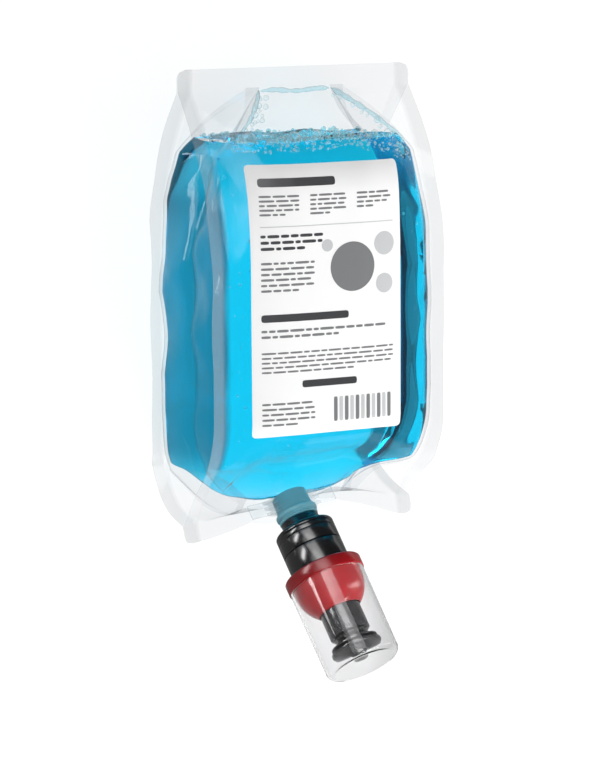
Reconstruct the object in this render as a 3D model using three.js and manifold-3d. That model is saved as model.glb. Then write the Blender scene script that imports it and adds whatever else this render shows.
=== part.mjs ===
// Hand soap refill pack: a clear film pouch with side gussets, filled with soap,
// and a disposable dosing pump with a clear overcap on the spout in its bottom seal.
// Millimetres, +Z up. The pack lies on its back: +Y runs to the top seal, the label looks up.
import * as THREE from 'three';
import { mergeVertices } from 'three/addons/utils/BufferGeometryUtils.js';
import Module from 'manifold-3d';

const wasm = await Module();
wasm.setup();

// Pouch
const PACK_L = 202;
const TOP_Y = 98;
const PANEL_W = 96;
const GUSSET_D = 62;
const FIN_W = 7.3;
const TOP_SEAL = 9;
const FOOT_SEAL = 8.4;
const FOOT_RISE = 8.3;
const SEAL_T = 1;
const CORNER_R = 4;
const FILM = 0.35;
const FRONT_CROWN = 7.2;
const BACK_CROWN = 4;
const GUSSET_TUCK = 1.5;
const GUSSET_BELLY = 6.5;
const CREASE = 1.2;
const AIR_L = 17.5;

// Label
const LABEL_W = 70;
const LABEL_L = 115;
const LABEL_R = 2;
const LABEL_T = 0.25;
const LABEL_TOP = 38.5;
const LABEL_X = -3.6;

// Spout
const BOAT_L = 43.6;
const BOAT_H = 7.4;
const NECK_R = 8.3;
const NECK_L = 8.7;
const SPOUT_X = -2.5;

// Pump
const PITCH = 37.6;
const LEAN = 8.6;
const COLLAR_R = 13.2;
const COLLAR_L = 14.7;
const BODY_L = 9.9;
const RING_L = 5.4;
const STROKE = 12;
const STEM_OUT = 12;
const NOZZLE_L = 10.8;
const TIP_R = 3.4;
const CAP_WALL = 1;

const GAP = 0.3;
const FINE = 32;
const PLAIN = 24;

const HALF_W = PANEL_W / 2;
const HALF_D = GUSSET_D / 2;
const FLOOR = HALF_D + BACK_CROWN * 0.75;
const TOP_LINE = TOP_Y - TOP_SEAL;
const FOOT_Y = TOP_Y - PACK_L;
const FOOT_LINE = FOOT_Y + FOOT_SEAL;
const BOAT_Y = FOOT_Y + FOOT_RISE + BOAT_H / 2 + 0.5;
const WELD = 2.5;
const SPIGOT_R = NECK_R - 1.3;
const BORE_R = NECK_R - 3.5;
const CHAMBER_R = COLLAR_R - 3;
const STEM_R = COLLAR_R - 4.2;
const BELL_R = COLLAR_R + 2.3;
const RING_R = COLLAR_R + 4.2;
const FLANGE_R = STEM_R + 1.5;
const DISC_R = STEM_R + 2.3;

const { clamp, lerp, smoothstep, degToRad } = THREE.MathUtils;

const axis = new THREE.Vector3(
  Math.tan(degToRad(LEAN)),
  -1,
  Math.tan(degToRad(PITCH)),
).normalize();
const hinge = new THREE.Vector3(SPOUT_X, BOAT_Y, 0);
const down = new THREE.Vector3(0, -1, 0);
const bendAxis = down.clone().cross(axis).normalize();
const bendAngle = down.angleTo(axis);

// How full the pouch is at a distance from a seal line, from 0 at the seal to 1.
function fill(distance, reach, power) {
  return 1 - (1 - clamp(distance / reach, 0, 1)) ** power;
}

// Half thickness of the spout's boat-shaped weld base.
function boatHalf(x) {
  const u = clamp(Math.abs(x) / (BOAT_L / 2), 0, 1);
  return NECK_R * (1 - u ** 2);
}

// Half thickness of the bottom seal, which wraps the weld base.
function bandHalf(x) {
  const wrap = boatHalf(x - SPOUT_X) + GAP + FILM + 0.15;
  return Math.abs(x - SPOUT_X) < BOAT_L / 2 + 1 ? Math.max(SEAL_T / 2, wrap) : SEAL_T / 2;
}

// Height of a panel over the mid plane; side is 1 for the front and -1 for the back.
function panel(x, y, side) {
  const top = TOP_LINE - y;
  const foot = y - FOOT_LINE;
  const crown = side > 0 ? FRONT_CROWN : BACK_CROWN;
  const fold = HALF_D * fill(top, 75, 2) * fill(foot, side > 0 ? 46 : 34, 2.2);
  const start = NECK_R + GAP + FILM + 0.15;
  const rise = lerp(start, HALF_D + crown, fill(foot, side > 0 ? 48 : 38, 1.8));
  const middle = Math.max(fold, rise * fill(top, 44, 2.2));
  const u = Math.min(Math.abs(x) / HALF_W, 1);
  const height = fold + (middle - fold) * (1 - u ** 3.2);
  const near = foot < 12 ? bandHalf(x) : 0;
  return side * Math.max(height, near);
}

// Where the pouch bends forward at its foot: 1 at the spout, 0 up the pack.
function bendWeight(x, foot, z) {
  const across = 1 - smoothstep(Math.abs(x - SPOUT_X), BOAT_L / 2 + 2.5, HALF_W + FIN_W);
  const stiff = 1 - 0.6 * smoothstep(Math.abs(z), NECK_R + 1.5, HALF_D);
  return stiff * (1 - smoothstep(foot, 3, 46)) * (0.35 + 0.65 * across);
}

// A point of the straight pouch, bent at its foot and laid on its back.
function laid(x, y, z, lift) {
  const rise = FOOT_RISE * (1 - smoothstep(Math.abs(x - SPOUT_X), BOAT_L / 2 + 3, HALF_W));
  const foot = y - FOOT_LINE;
  const raised = y + rise * (1 - smoothstep(foot, 0, 45));
  const p = new THREE.Vector3(x, raised, z).sub(hinge);
  p.applyAxisAngle(bendAxis, bendAngle * bendWeight(x, foot, z)).add(hinge);
  p.z = Math.max(p.z, -FLOOR + lift) + FLOOR;
  return p;
}

// The gusset's free edge and centre fold on one row, measured from the pouch's middle.
function gusset(y) {
  const top = TOP_LINE - y;
  const foot = y - FOOT_LINE;
  const tipTop = HALF_W - HALF_D;
  const tipFoot = Math.max(tipTop, BOAT_L / 2 + Math.abs(SPOUT_X) + 1.5);
  const reach = HALF_W - WELD;
  const edgeTop = lerp(tipTop, reach, clamp(top / 27, 0, 1));
  const edgeFoot = lerp(tipFoot, reach, clamp(foot / 20, 0, 1));
  const foldTop = lerp(tipTop, HALF_W, fill(top, 80, 1.7));
  const foldFoot = lerp(tipFoot, HALF_W, fill(foot, 48, 1.7));
  const edge = Math.min(edgeTop, edgeFoot);
  return { edge, fold: Math.min(foldTop, foldFoot) - GUSSET_TUCK * fill(Math.min(top, foot), 40, 1) };
}

const ACROSS = [-1, -0.82, -0.6, -0.38, -0.18, 0, 0.18, 0.38, 0.6, 0.82, 1];
const SIDE = [0.18, 0.4, 0.7, 1, 0.7, 0.4, 0.18];

// Points of one gusset from the front panel to the back panel, shrunk inwards by inset.
function gussetPoints(y, sign, inset) {
  const { edge, fold } = gusset(y);
  const zFront = panel(edge, y, 1);
  const zBack = panel(edge, y, -1);
  const full = fill(Math.min(TOP_LINE - y, y - FOOT_LINE), 45, 1.5);
  return SIDE.map((share, i) => {
    const z = i <= 3 ? lerp(zFront, 0, share) : lerp(zBack, 0, share);
    const round = 4 * share * (1 - share);
    const ripple = CREASE * full * round * Math.sin(y * 0.27 + i * 1.9 + sign);
    const belly = round * GUSSET_BELLY * full;
    const x = lerp(edge, fold, share) + belly + ripple - inset;
    const slim = Math.abs(z) > inset ? z - Math.sign(z) * inset * 0.6 : z * 0.4;
    return [sign * x, inset > 0 ? slim : z];
  });
}

// How much a seal's rounded corner takes off its width at a distance from the pouch's end.
function cornerCut(distance) {
  const d = clamp(distance, 0, CORNER_R);
  return CORNER_R - Math.sqrt(CORNER_R ** 2 - (CORNER_R - d) ** 2);
}

// One row of the outer skin with its four corner seals.
function outerRow(y) {
  const top = TOP_LINE - y;
  const foot = y - FOOT_LINE;
  const flat = top <= 0 || foot <= 0;
  const alpha = degToRad(48) * smoothstep(top, 0, 45) * smoothstep(foot, 0, 30);
  const { edge } = gusset(clamp(y, FOOT_LINE + 0.01, TOP_LINE - 0.01));
  const depth = (x, side) => {
    if (!flat) return panel(x, y, side);
    return side * (foot <= 0 ? bandHalf(x) : SEAL_T / 2);
  };
  const face = (side) => {
    const z = depth(HALF_W, side);
    const width = FIN_W - cornerCut(Math.min(TOP_Y - y, y - FOOT_Y));
    const tip = [HALF_W + width * Math.cos(alpha), z + side * width * Math.sin(alpha)];
    const middle = ACROSS.map((k) => [k * edge, depth(k * edge, side)]);
    return [[-tip[0], tip[1]], [-HALF_W, z], ...middle, [HALF_W, z], tip];
  };
  const front = face(1);
  const back = face(-1);
  const flank = (sign) => {
    const tipX = front.at(-1)[0];
    const count = SIDE.length + 6;
    if (flat) {
      const zFront = front.at(-1)[1];
      const zBack = back.at(-1)[1];
      return Array.from({ length: count }, (_, i) => {
        return [sign * tipX, lerp(zFront, zBack, (i + 1) / (count + 1))];
      });
    }
    const seam = (side) => {
      const dx = 2 * FILM * Math.sin(alpha);
      const dz = -side * 2 * FILM * Math.cos(alpha);
      const list = side > 0 ? front : back;
      const at = (p) => [sign * (p[0] + dx), p[1] + dz];
      return [at(list.at(-1)), at(list.at(-2)), at(list.at(-3))];
    };
    return [...seam(1), ...gussetPoints(y, sign, 0), ...seam(-1).reverse()];
  };
  return { front, right: flank(1), back: [...back].reverse(), left: flank(-1).reverse(), y, lift: 0 };
}

// A panel point moved into the pouch, square to the panel.
function inward(x, y, side, inset) {
  const step = 0.5;
  const slopeX = (panel(x + step, y, side) - panel(x - step, y, side)) / (2 * step);
  const slopeY = (panel(x, y + step, side) - panel(x, y - step, side)) / (2 * step);
  const length = Math.hypot(slopeX, slopeY, 1);
  const move = (side * inset) / length;
  return [x + slopeX * move, panel(x, y, side) - move, slopeY * move];
}

// One row of the space inside the film, or of the soap when inset is larger.
function innerRow(y, inset) {
  const { edge } = gusset(y);
  const end = edge - 0.8 - inset * 1.5;
  const face = (side) => {
    return ACROSS.map((k) => {
      const [x, z, dy] = inward(k * edge, y, side, inset);
      return [clamp(x, -end, end), z, dy];
    });
  };
  const flank = (sign) => gussetPoints(y, sign, inset * 1.7 + 0.2);
  return {
    front: face(1),
    right: flank(1),
    back: face(-1).reverse(),
    left: flank(-1).reverse(),
    y,
    lift: inset,
  };
}

// A solid through rows of points that all have the same layout.
function loft(rows) {
  const points = [];
  const index = [];
  const loops = rows.map((row) => {
    return [...row.front, ...row.right, ...row.back, ...row.left].map(([x, z, dy = 0]) => {
      points.push(laid(x, row.y + dy, z, row.lift));
      return points.length - 1;
    });
  });
  const count = loops[0].length;
  for (let r = 0; r + 1 < loops.length; r += 1) {
    for (let i = 0; i < count; i += 1) {
      const j = (i + 1) % count;
      const [a, b, c, d] = [loops[r][i], loops[r][j], loops[r + 1][j], loops[r + 1][i]];
      index.push(a, b, c, a, c, d);
    }
  }
  const cap = (loop, row, flip) => {
    const f = row.front.length;
    const s = row.right.length;
    const front = loop.slice(0, f);
    const right = loop.slice(f, f + s);
    const back = loop.slice(f + s, 2 * f + s).reverse();
    const left = loop.slice(2 * f + s).reverse();
    const tri = (a, b, c) => index.push(...(flip ? [a, c, b] : [a, b, c]));
    for (let i = 1; i + 2 < f; i += 1) {
      tri(front[i], back[i], back[i + 1]);
      tri(front[i], back[i + 1], front[i + 1]);
    }
    const ends = [
      [[front[f - 1], ...right, back[f - 1]], front[f - 2], back[f - 2], false],
      [[front[0], ...left, back[0]], front[1], back[1], true],
    ];
    for (const [edge, near, far, swap] of ends) {
      const fan = [...edge, far];
      for (let i = 0; i + 1 < fan.length; i += 1) {
        if (swap) tri(near, fan[i], fan[i + 1]);
        else tri(near, fan[i + 1], fan[i]);
      }
    }
  };
  cap(loops[0], rows[0], false);
  cap(loops.at(-1), rows.at(-1), true);
  const geometry = new THREE.BufferGeometry().setFromPoints(points);
  geometry.setIndex(index);
  return geometry;
}

// A three.js geometry as a solid that can be joined or cut.
function solid(geometry) {
  const bare = new THREE.BufferGeometry();
  bare.setAttribute('position', geometry.getAttribute('position'));
  bare.setIndex(geometry.getIndex());
  const merged = mergeVertices(bare, 1e-4);
  const index = [];
  const all = merged.getIndex().array;
  for (let i = 0; i < all.length; i += 3) {
    const [a, b, c] = [all[i], all[i + 1], all[i + 2]];
    if (a !== b && b !== c && c !== a) index.push(a, b, c);
  }
  const build = (list) => {
    return new wasm.Manifold(new wasm.Mesh({
      numProp: 3,
      vertProperties: new Float32Array(merged.getAttribute('position').array),
      triVerts: new Uint32Array(list),
    }));
  };
  const made = build(index);
  if (made.volume() > 0) return made;
  return build(index.reverse());
}

// A solid turned back into a three.js geometry.
function geometryOf(body) {
  const mesh = body.getMesh();
  const geometry = new THREE.BufferGeometry();
  geometry.setAttribute('position', new THREE.BufferAttribute(mesh.vertProperties, 3));
  geometry.setIndex(new THREE.BufferAttribute(mesh.triVerts, 1));
  geometry.computeVertexNormals();
  return geometry;
}

// A turned solid from a closed outline of [radius, distance along the axis].
function turned(outline, segments) {
  const points = outline.map(([r, t]) => new THREE.Vector2(r, t));
  points.push(points[0].clone());
  return solid(new THREE.LatheGeometry(points, segments));
}

// Points along a quarter turn of an edge, from one angle to another in degrees.
function arc(r, t, radius, from, to, steps) {
  return Array.from({ length: steps + 1 }, (_, i) => {
    const angle = degToRad(lerp(from, to, i / steps));
    return [r + radius * Math.cos(angle), t + radius * Math.sin(angle)];
  });
}

// Pump pieces are drawn along +Y from the weld base and then turned onto the pump's axis.
const turn = new THREE.Quaternion().setFromAxisAngle(bendAxis, bendAngle);
turn.multiply(new THREE.Quaternion().setFromAxisAngle(new THREE.Vector3(1, 0, 0), Math.PI));
const seat = new THREE.Matrix4().compose(
  new THREE.Vector3(SPOUT_X, BOAT_Y, FLOOR),
  turn,
  new THREE.Vector3(1, 1, 1),
);

// A plastic finish; alpha under 1 is see-through.
function finish(color, roughness, alpha = 1) {
  return new THREE.MeshStandardMaterial({ color, roughness, opacity: alpha, transparent: alpha < 1 });
}

const finishes = {
  film: finish(0xe9edf0, 0.15, 0.3),
  soap: finish(0x19b9e2, 0.1, 0.8),
  label: finish(0xf4f4f2, 0.55),
  natural: finish(0xdfe6e6, 0.4, 0.7),
  black: finish(0x1a1b1e, 0.4),
  red: finish(0xb8281f, 0.4),
  silicone: finish(0xd8d8d4, 0.7),
  clear: finish(0xf2f5f6, 0.08, 0.25),
};

const pack = new THREE.Group();
pack.name = 'hand_soap_refill_pack';

// One named piece; those drawn along the pump's axis are turned into place.
function add(name, body, look, placed = true) {
  const geometry = geometryOf(body);
  if (placed) geometry.applyMatrix4(seat);
  const mesh = new THREE.Mesh(geometry, finishes[look]);
  mesh.name = name;
  pack.add(mesh);
}

// Rows of the pouch, closer together where it narrows to its seals.
const footSteps = [2.5, 6, 10.5, 16, 23, 31, 39, 47, 56, 67];
const topSteps = [67, 55, 45, 34, AIR_L + 6.5, AIR_L, AIR_L * 0.65, AIR_L * 0.36, 2.5];
const middleSpan = TOP_LINE - FOOT_LINE - 67 * 2;
const rowsY = [
  ...footSteps.map((s) => FOOT_LINE + s),
  FOOT_LINE + 67 + middleSpan / 3,
  FOOT_LINE + 67 + (middleSpan * 2) / 3,
  ...topSteps.map((s) => TOP_LINE - s),
];

// Film: the outer skin less the space inside it and the socket of the weld base.
const corner = [0, 0.1, 0.4, 1].map((k) => k * CORNER_R);
const skinY = [
  ...corner.map((d) => FOOT_Y + d),
  FOOT_LINE,
  ...rowsY,
  TOP_LINE,
  ...corner.map((d) => TOP_Y - d).reverse(),
];
const skin = solid(loft(skinY.map(outerRow)));
const space = solid(loft(rowsY.map((y) => innerRow(y, FILM))));

function boatShape(grow) {
  const shape = new THREE.Shape();
  const half = BOAT_L / 2;
  const steps = 20;
  const upper = Array.from({ length: steps + 1 }, (_, i) => {
    const x = lerp(-half, half, i / steps);
    return new THREE.Vector2(x * (1 + grow / half), boatHalf(x) + Math.max(grow, 0.4));
  });
  const lower = upper.map((p) => new THREE.Vector2(p.x, -p.y)).reverse();
  shape.setFromPoints([...upper, ...lower]);
  return shape;
}

// A prism of the weld base's outline between two distances along the pump's axis.
function boatPrism(grow, from, to) {
  const prism = new THREE.ExtrudeGeometry(boatShape(grow), { depth: to - from, bevelEnabled: false });
  prism.rotateX(-Math.PI / 2);
  prism.translate(0, from, 0);
  return solid(prism);
}

function onAxis(body) {
  const e = seat.elements;
  return body.transform([...e]);
}

const socket = onAxis(boatPrism(GAP, -BOAT_H / 2 - 4, BOAT_H / 2 + 3));
add('pouch_film', skin.subtract(space).subtract(socket), 'film', false);

// Weld-in spout: boat-shaped base, neck with two beads, and a spigot inside the pump collar.
const neckTop = BOAT_H / 2;
const spigotEnd = NECK_L + 7.9;
const neck = turned(
  [
    [BORE_R, -neckTop],
    [NECK_R, -neckTop],
    [NECK_R, neckTop + 0.5],
    [NECK_R + 1, neckTop + 0.9],
    [NECK_R + 1, neckTop + 2.6],
    [NECK_R - 0.3, neckTop + 3],
    [NECK_R - 0.3, neckTop + 3.7],
    [NECK_R + 0.5, neckTop + 4],
    [NECK_R + 0.5, NECK_L - GAP],
    [SPIGOT_R, NECK_L - GAP],
    [SPIGOT_R, spigotEnd],
    [BORE_R, spigotEnd],
  ],
  FINE,
);
const boat = boatPrism(0, -BOAT_H / 2, BOAT_H / 2);
const bore = solid(new THREE.CylinderGeometry(BORE_R, BORE_R, BOAT_H + 2, FINE));
add('spout', boat.subtract(bore).add(neck), 'natural');

// Soap in the pouch and down the spout's bore.
const soapRows = rowsY.filter((y) => y < TOP_LINE - AIR_L + 0.1);
const fillBody = solid(loft(soapRows.map((y) => innerRow(y, FILM + 1.5 * GAP))));
const columnShape = new THREE.CylinderGeometry(BORE_R - GAP, BORE_R - GAP, spigotEnd + 22, PLAIN);
columnShape.translate(0, (spigotEnd - 22) / 2, 0);
const column = solid(columnShape);
const wholeBoat = onAxis(boatPrism(GAP, -BOAT_H / 2 - GAP, BOAT_H / 2 + 3));
add('liquid_soap', fillBody.subtract(wholeBoat).add(onAxis(column)), 'soap', false);

// Label on the front panel.
function labelSheet() {
  const top = TOP_Y - LABEL_TOP;
  const cols = [-1, -0.96, -0.86, -0.62, -0.36, -0.12, 0.12, 0.36, 0.62, 0.86, 0.96, 1];
  const rows = 15;
  const points = [];
  const index = [];
  const height = GAP + FILM * 0.5;
  const at = (k, v, lift) => {
    const along = v * LABEL_L;
    const end = Math.min(along, LABEL_L - along);
    const inset = end < LABEL_R ? LABEL_R - Math.sqrt(LABEL_R ** 2 - (LABEL_R - end) ** 2) : 0;
    const x = LABEL_X + k * (LABEL_W / 2 - inset);
    const y = top - along;
    return laid(x, y, panel(x, y, 1) + height + lift, 0);
  };
  const spread = (i) => {
    const u = (i - 2) / (rows - 4);
    if (i === 0) return 0;
    if (i === 1) return (0.3 * LABEL_R) / LABEL_L;
    if (i === rows - 1) return 1 - (0.3 * LABEL_R) / LABEL_L;
    if (i === rows) return 1;
    return lerp(LABEL_R / LABEL_L, 1 - LABEL_R / LABEL_L, u);
  };
  for (const lift of [0, LABEL_T]) {
    for (let i = 0; i <= rows; i += 1) {
      for (const k of cols) points.push(at(k, spread(i), lift));
    }
  }
  const n = cols.length;
  const id = (layer, i, j) => layer * (rows + 1) * n + i * n + j;
  for (let i = 0; i < rows; i += 1) {
    for (let j = 0; j + 1 < n; j += 1) {
      const [a, b, c, d] = [id(1, i, j), id(1, i, j + 1), id(1, i + 1, j + 1), id(1, i + 1, j)];
      index.push(a, d, c, a, c, b);
      const [e, f, g, h] = [id(0, i, j), id(0, i, j + 1), id(0, i + 1, j + 1), id(0, i + 1, j)];
      index.push(e, g, h, e, f, g);
    }
  }
  const rim = [];
  for (let j = 0; j < n - 1; j += 1) rim.push([0, j]);
  for (let i = 0; i < rows; i += 1) rim.push([i, n - 1]);
  for (let j = n - 1; j > 0; j -= 1) rim.push([rows, j]);
  for (let i = rows; i > 0; i -= 1) rim.push([i, 0]);
  rim.forEach(([i, j], k) => {
    const [i2, j2] = rim[(k + 1) % rim.length];
    const [a, b, c, d] = [id(1, i, j), id(1, i2, j2), id(0, i2, j2), id(0, i, j)];
    index.push(a, b, c, a, c, d);
  });
  const geometry = new THREE.BufferGeometry().setFromPoints(points);
  geometry.setIndex(index);
  return solid(geometry);
}

add('front_label', labelSheet(), 'label', false);

// Collar that snaps over the spigot.
const collarEnd = NECK_L + COLLAR_L;
const plugR = COLLAR_R - 1.4;
const roofTop = spigotEnd + 1.7;
add(
  'snap_collar',
  turned(
    [
      [SPIGOT_R + GAP, NECK_L],
      [NECK_R + 0.2, NECK_L],
      [NECK_R + 0.3, NECK_L + 4],
      [COLLAR_R - 1.2, NECK_L + 4.8],
      [COLLAR_R - 0.3, NECK_L + 5.4],
      [COLLAR_R, NECK_L + 6.2],
      [COLLAR_R - 0.35, NECK_L + 6.5],
      [COLLAR_R, NECK_L + 6.8],
      [COLLAR_R, collarEnd],
      [plugR, collarEnd],
      [plugR, spigotEnd - 1.4],
      [SPIGOT_R + GAP, spigotEnd - 1.4],
    ],
    FINE,
  ),
  'black',
);

// Flat gasket between the spout's end and the pump body.
add(
  'spout_gasket',
  turned(
    [
      [BORE_R + 0.2, spigotEnd + GAP],
      [SPIGOT_R + 1.5, spigotEnd + GAP],
      [SPIGOT_R + 1.5, roofTop - GAP],
      [BORE_R + 0.2, roofTop - GAP],
    ],
    PLAIN,
  ),
  'silicone',
);

// Pump body with its chamber, the inlet plate at the top and the sleeve inside the ring.
const bodyTop = collarEnd + GAP;
const bodyEnd = bodyTop + BODY_L;
const roofEnd = roofTop + 2;
const stemTop = roofEnd + STROKE + 3.2;
const sleeveEnd = Math.max(bodyEnd + 2, stemTop + 6);
const sleeveR = CHAMBER_R + 1.2;
const inlets = Array.from({ length: 4 }, (_, i) => {
  const hole = new THREE.CylinderGeometry(1, 1, 8, 10);
  const angle = (i * Math.PI) / 2;
  hole.translate(3.3 * Math.cos(angle), (roofTop + roofEnd) / 2, 3.3 * Math.sin(angle));
  return solid(hole);
});
const chamber = turned(
  [
    [1.5, roofTop],
    [plugR - GAP, roofTop],
    [plugR - GAP, bodyTop],
    [COLLAR_R, bodyTop],
    [COLLAR_R, bodyEnd],
    [sleeveR, bodyEnd],
    [sleeveR, sleeveEnd],
    [CHAMBER_R, sleeveEnd],
    [CHAMBER_R, roofEnd],
    [1.5, roofEnd],
  ],
  FINE,
);
add('pump_body', inlets.reduce((body, hole) => body.subtract(hole), chamber), 'black');

// Umbrella valve under the inlet holes.
add(
  'inlet_valve',
  turned(
    [
      [0, roofTop - 0.9],
      [1.2, roofTop - 0.9],
      [1.2, roofEnd + GAP],
      [5.2, roofEnd + GAP],
      [5.2, roofEnd + GAP + 0.5],
      [1.6, roofEnd + GAP + 1.1],
      [0, roofEnd + GAP + 1.1],
    ],
    PLAIN,
  ),
  'silicone',
);

// Ring that the overcap seats on, with the bell that guides the stem.
const ringTop = bodyEnd + GAP;
const ringEnd = ringTop + RING_L;
const bellY = ringEnd + 2.2;
const holeR = STEM_R + 0.4;
const bellWall = 1.3;
const degrees = (radius) => THREE.MathUtils.radToDeg(Math.acos(holeR / radius));
add(
  'bell_guide',
  turned(
    [
      [sleeveR + GAP, ringTop + GAP],
      [COLLAR_R + GAP, ringTop + GAP],
      [COLLAR_R + GAP, ringTop],
      [RING_R - 0.6, ringTop],
      [RING_R, ringTop + 0.6],
      [RING_R, ringEnd],
      [BELL_R, ringEnd],
      ...arc(0, bellY, BELL_R, 0, degrees(BELL_R), 6),
      ...arc(0, bellY, BELL_R - bellWall, degrees(BELL_R - bellWall), 0, 5),
      [BELL_R - bellWall, ringTop + 1.5],
      [sleeveR + GAP, ringTop + 1.5],
    ],
    FINE,
  ),
  'red',
);

// Piston stem: a tube closed at the top by the piston head.
const bellEnd = bellY + Math.sqrt(BELL_R ** 2 - holeR ** 2);
const stemEnd = bellEnd + STEM_OUT;
const tipEnd = stemEnd + NOZZLE_L;
const socketR = STEM_R - 1.4;
add(
  'piston_stem',
  turned(
    [
      [2.2, stemTop],
      [STEM_R, stemTop],
      [STEM_R, stemTop + 1],
      [STEM_R - 0.8, stemTop + 1],
      [STEM_R - 0.8, stemTop + 4.2],
      [STEM_R, stemTop + 4.2],
      [STEM_R, stemEnd - 0.6],
      [STEM_R - 0.8, stemEnd],
      [socketR, stemEnd],
      [socketR, stemTop + 6.4],
      [2.2, stemTop + 5.2],
    ],
    FINE,
  ),
  'black',
);

// Sealing ring in the piston's groove.
add(
  'piston_seal',
  turned(
    [
      [STEM_R - 0.8 + GAP, stemTop + 1 + GAP],
      [CHAMBER_R - 0.5, stemTop + 1 + GAP],
      [CHAMBER_R - 0.25, stemTop + 1.7],
      [CHAMBER_R - 0.6, stemTop + 2.6],
      [CHAMBER_R - 0.25, stemTop + 3.5],
      [CHAMBER_R - 0.5, stemTop + 4.2 - GAP],
      [STEM_R - 0.8 + GAP, stemTop + 4.2 - GAP],
    ],
    FINE,
  ),
  'silicone',
);

// Nozzle: plug in the stem, drive flange and disc, and the outlet tip.
const waist = STEM_R - 2.6;
const plugTop = stemEnd - 5.4;
const valveR = 3.6;
add(
  'nozzle',
  turned(
    [
      [valveR, plugTop],
      [socketR - GAP, plugTop],
      [socketR - GAP, stemEnd + GAP],
      [STEM_R - 0.9, stemEnd + GAP],
      [waist, stemEnd + 2.1],
      [waist, stemEnd + 3.7],
      [FLANGE_R, stemEnd + 3.7],
      [FLANGE_R, stemEnd + 4.5],
      [waist, stemEnd + 4.7],
      [waist, stemEnd + 5.6],
      [DISC_R, stemEnd + 5.8],
      [DISC_R, stemEnd + 6.9],
      [DISC_R - 2, stemEnd + 7.5],
      [TIP_R + 0.6, stemEnd + 9],
      [TIP_R, stemEnd + 9.6],
      [TIP_R - 0.3, tipEnd],
      [1.9, tipEnd],
      [1.9, stemEnd],
      [valveR, stemEnd],
    ],
    FINE,
  ),
  'black',
);

// Soft outlet valve held in the nozzle's plug.
add(
  'outlet_valve',
  turned(
    [
      [0, stemEnd - 1],
      [1.5, stemEnd - 1.2],
      [2.3, stemEnd - 2.2],
      [2.3, plugTop + 1.2],
      [valveR - GAP, plugTop + 1.2],
      [valveR - GAP, plugTop + 0.2],
      [1.6, plugTop + 0.2],
      [1.6, stemEnd - 2.4],
      [0, stemEnd - 1.8],
    ],
    PLAIN,
  ),
  'silicone',
);

// Clear overcap, pulled off along the pump's axis.
const capR = BELL_R + 0.4 + CAP_WALL;
const capEnd = tipEnd + 4;
const round = 2.4;
add(
  'overcap',
  turned(
    [
      [capR - CAP_WALL, ringEnd + GAP],
      [capR, ringEnd + GAP],
      ...arc(capR - 0.3 - round, capEnd - round, round, 0, 90, 5),
      [0, capEnd],
      [0, capEnd - 1.1],
      ...arc(capR - 0.3 - round, capEnd - round, round - 1.1, 90, 0, 4),
    ],
    36,
  ),
  'clear',
);

export default pack;
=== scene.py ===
"""Looks of a hand soap refill pack: film pouch, blue soap, label, dosing pump and clear overcap."""

from __future__ import annotations

import logging
import math
import random
from dataclasses import dataclass, field
from enum import Enum, IntEnum
from typing import Callable, Iterable, Sequence, Union

import bmesh
import bpy
from mathutils import Matrix, Vector, noise

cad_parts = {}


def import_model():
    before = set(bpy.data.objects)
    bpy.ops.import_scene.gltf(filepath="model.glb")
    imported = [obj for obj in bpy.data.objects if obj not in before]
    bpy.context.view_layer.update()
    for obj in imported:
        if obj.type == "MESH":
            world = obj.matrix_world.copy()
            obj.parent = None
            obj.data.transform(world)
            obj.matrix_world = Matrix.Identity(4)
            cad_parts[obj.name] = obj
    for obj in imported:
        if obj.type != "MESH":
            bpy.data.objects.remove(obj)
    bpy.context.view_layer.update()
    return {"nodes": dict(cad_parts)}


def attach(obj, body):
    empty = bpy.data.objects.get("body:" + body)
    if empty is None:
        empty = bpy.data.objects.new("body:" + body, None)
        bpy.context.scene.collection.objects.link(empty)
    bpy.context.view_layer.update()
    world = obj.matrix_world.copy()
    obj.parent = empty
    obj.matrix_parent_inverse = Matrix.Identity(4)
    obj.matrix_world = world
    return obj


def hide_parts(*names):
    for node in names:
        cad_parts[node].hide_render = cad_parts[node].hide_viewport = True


LOG = logging.getLogger("soap_pack")
MM = 0.001
WELD_LAYER = "weld"
# Mesh layer of painted shade on the soap behind the gussets.
GUSSET_SHADE_LAYER = "flank"
SHARP = math.radians(50)
BEVEL_ANGLE = 0.6

Material = bpy.types.Material
Node = bpy.types.Node
NodeSocket = bpy.types.NodeSocket
Verts = list[bmesh.types.BMVert]
Pair = tuple[float, float]
Triple = tuple[float, float, float]
Box = tuple[float, float, float, float]
Profile = Sequence[Pair]
Path = Callable[[float], Vector]
Value = Union["Sock", float]


class Body(Enum):
    """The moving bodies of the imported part."""

    PACK = "pack"
    PLUNGER = "plunger"
    CAP = "cap"


class Slot(Enum):
    """The record's material slots that the pieces name."""

    FILM = "film"
    SOAP = "soap"
    LABEL = "label"
    NATURAL = "natural"
    BLACK = "black"
    RED = "red"
    CLEAR = "clear"


class Side(IntEnum):
    """The pouch's two panels, as factors on their height."""

    FRONT = 1
    BACK = -1


class Hand(IntEnum):
    """The pouch's two gussets, as factors on their distance from the middle."""

    RIGHT = 1
    LEFT = -1


class Ink(Enum):
    """Inks of the label, in the order of its print's materials."""

    DARK = 0
    GREY = 1
    PALE = 2


def clamp(value: float, low: float = 0.0, high: float = 1.0) -> float:
    """Holds a value between two limits."""
    return max(low, min(high, value))


def lerp(a: float, b: float, t: float) -> float:
    """Goes from a to b as t goes from 0 to 1."""
    return a + (b - a) * t


def smoothstep(x: float, low: float, high: float) -> float:
    """Eases from 0 at low to 1 at high."""
    t = clamp((x - low) / (high - low))
    return t * t * (3.0 - 2.0 * t)


def rise(distance: float, reach: float, power: float) -> float:
    """How far a bulge has risen at a distance from its seal, from 0 to 1."""
    return 1.0 - (1.0 - clamp(distance / reach)) ** power


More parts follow.
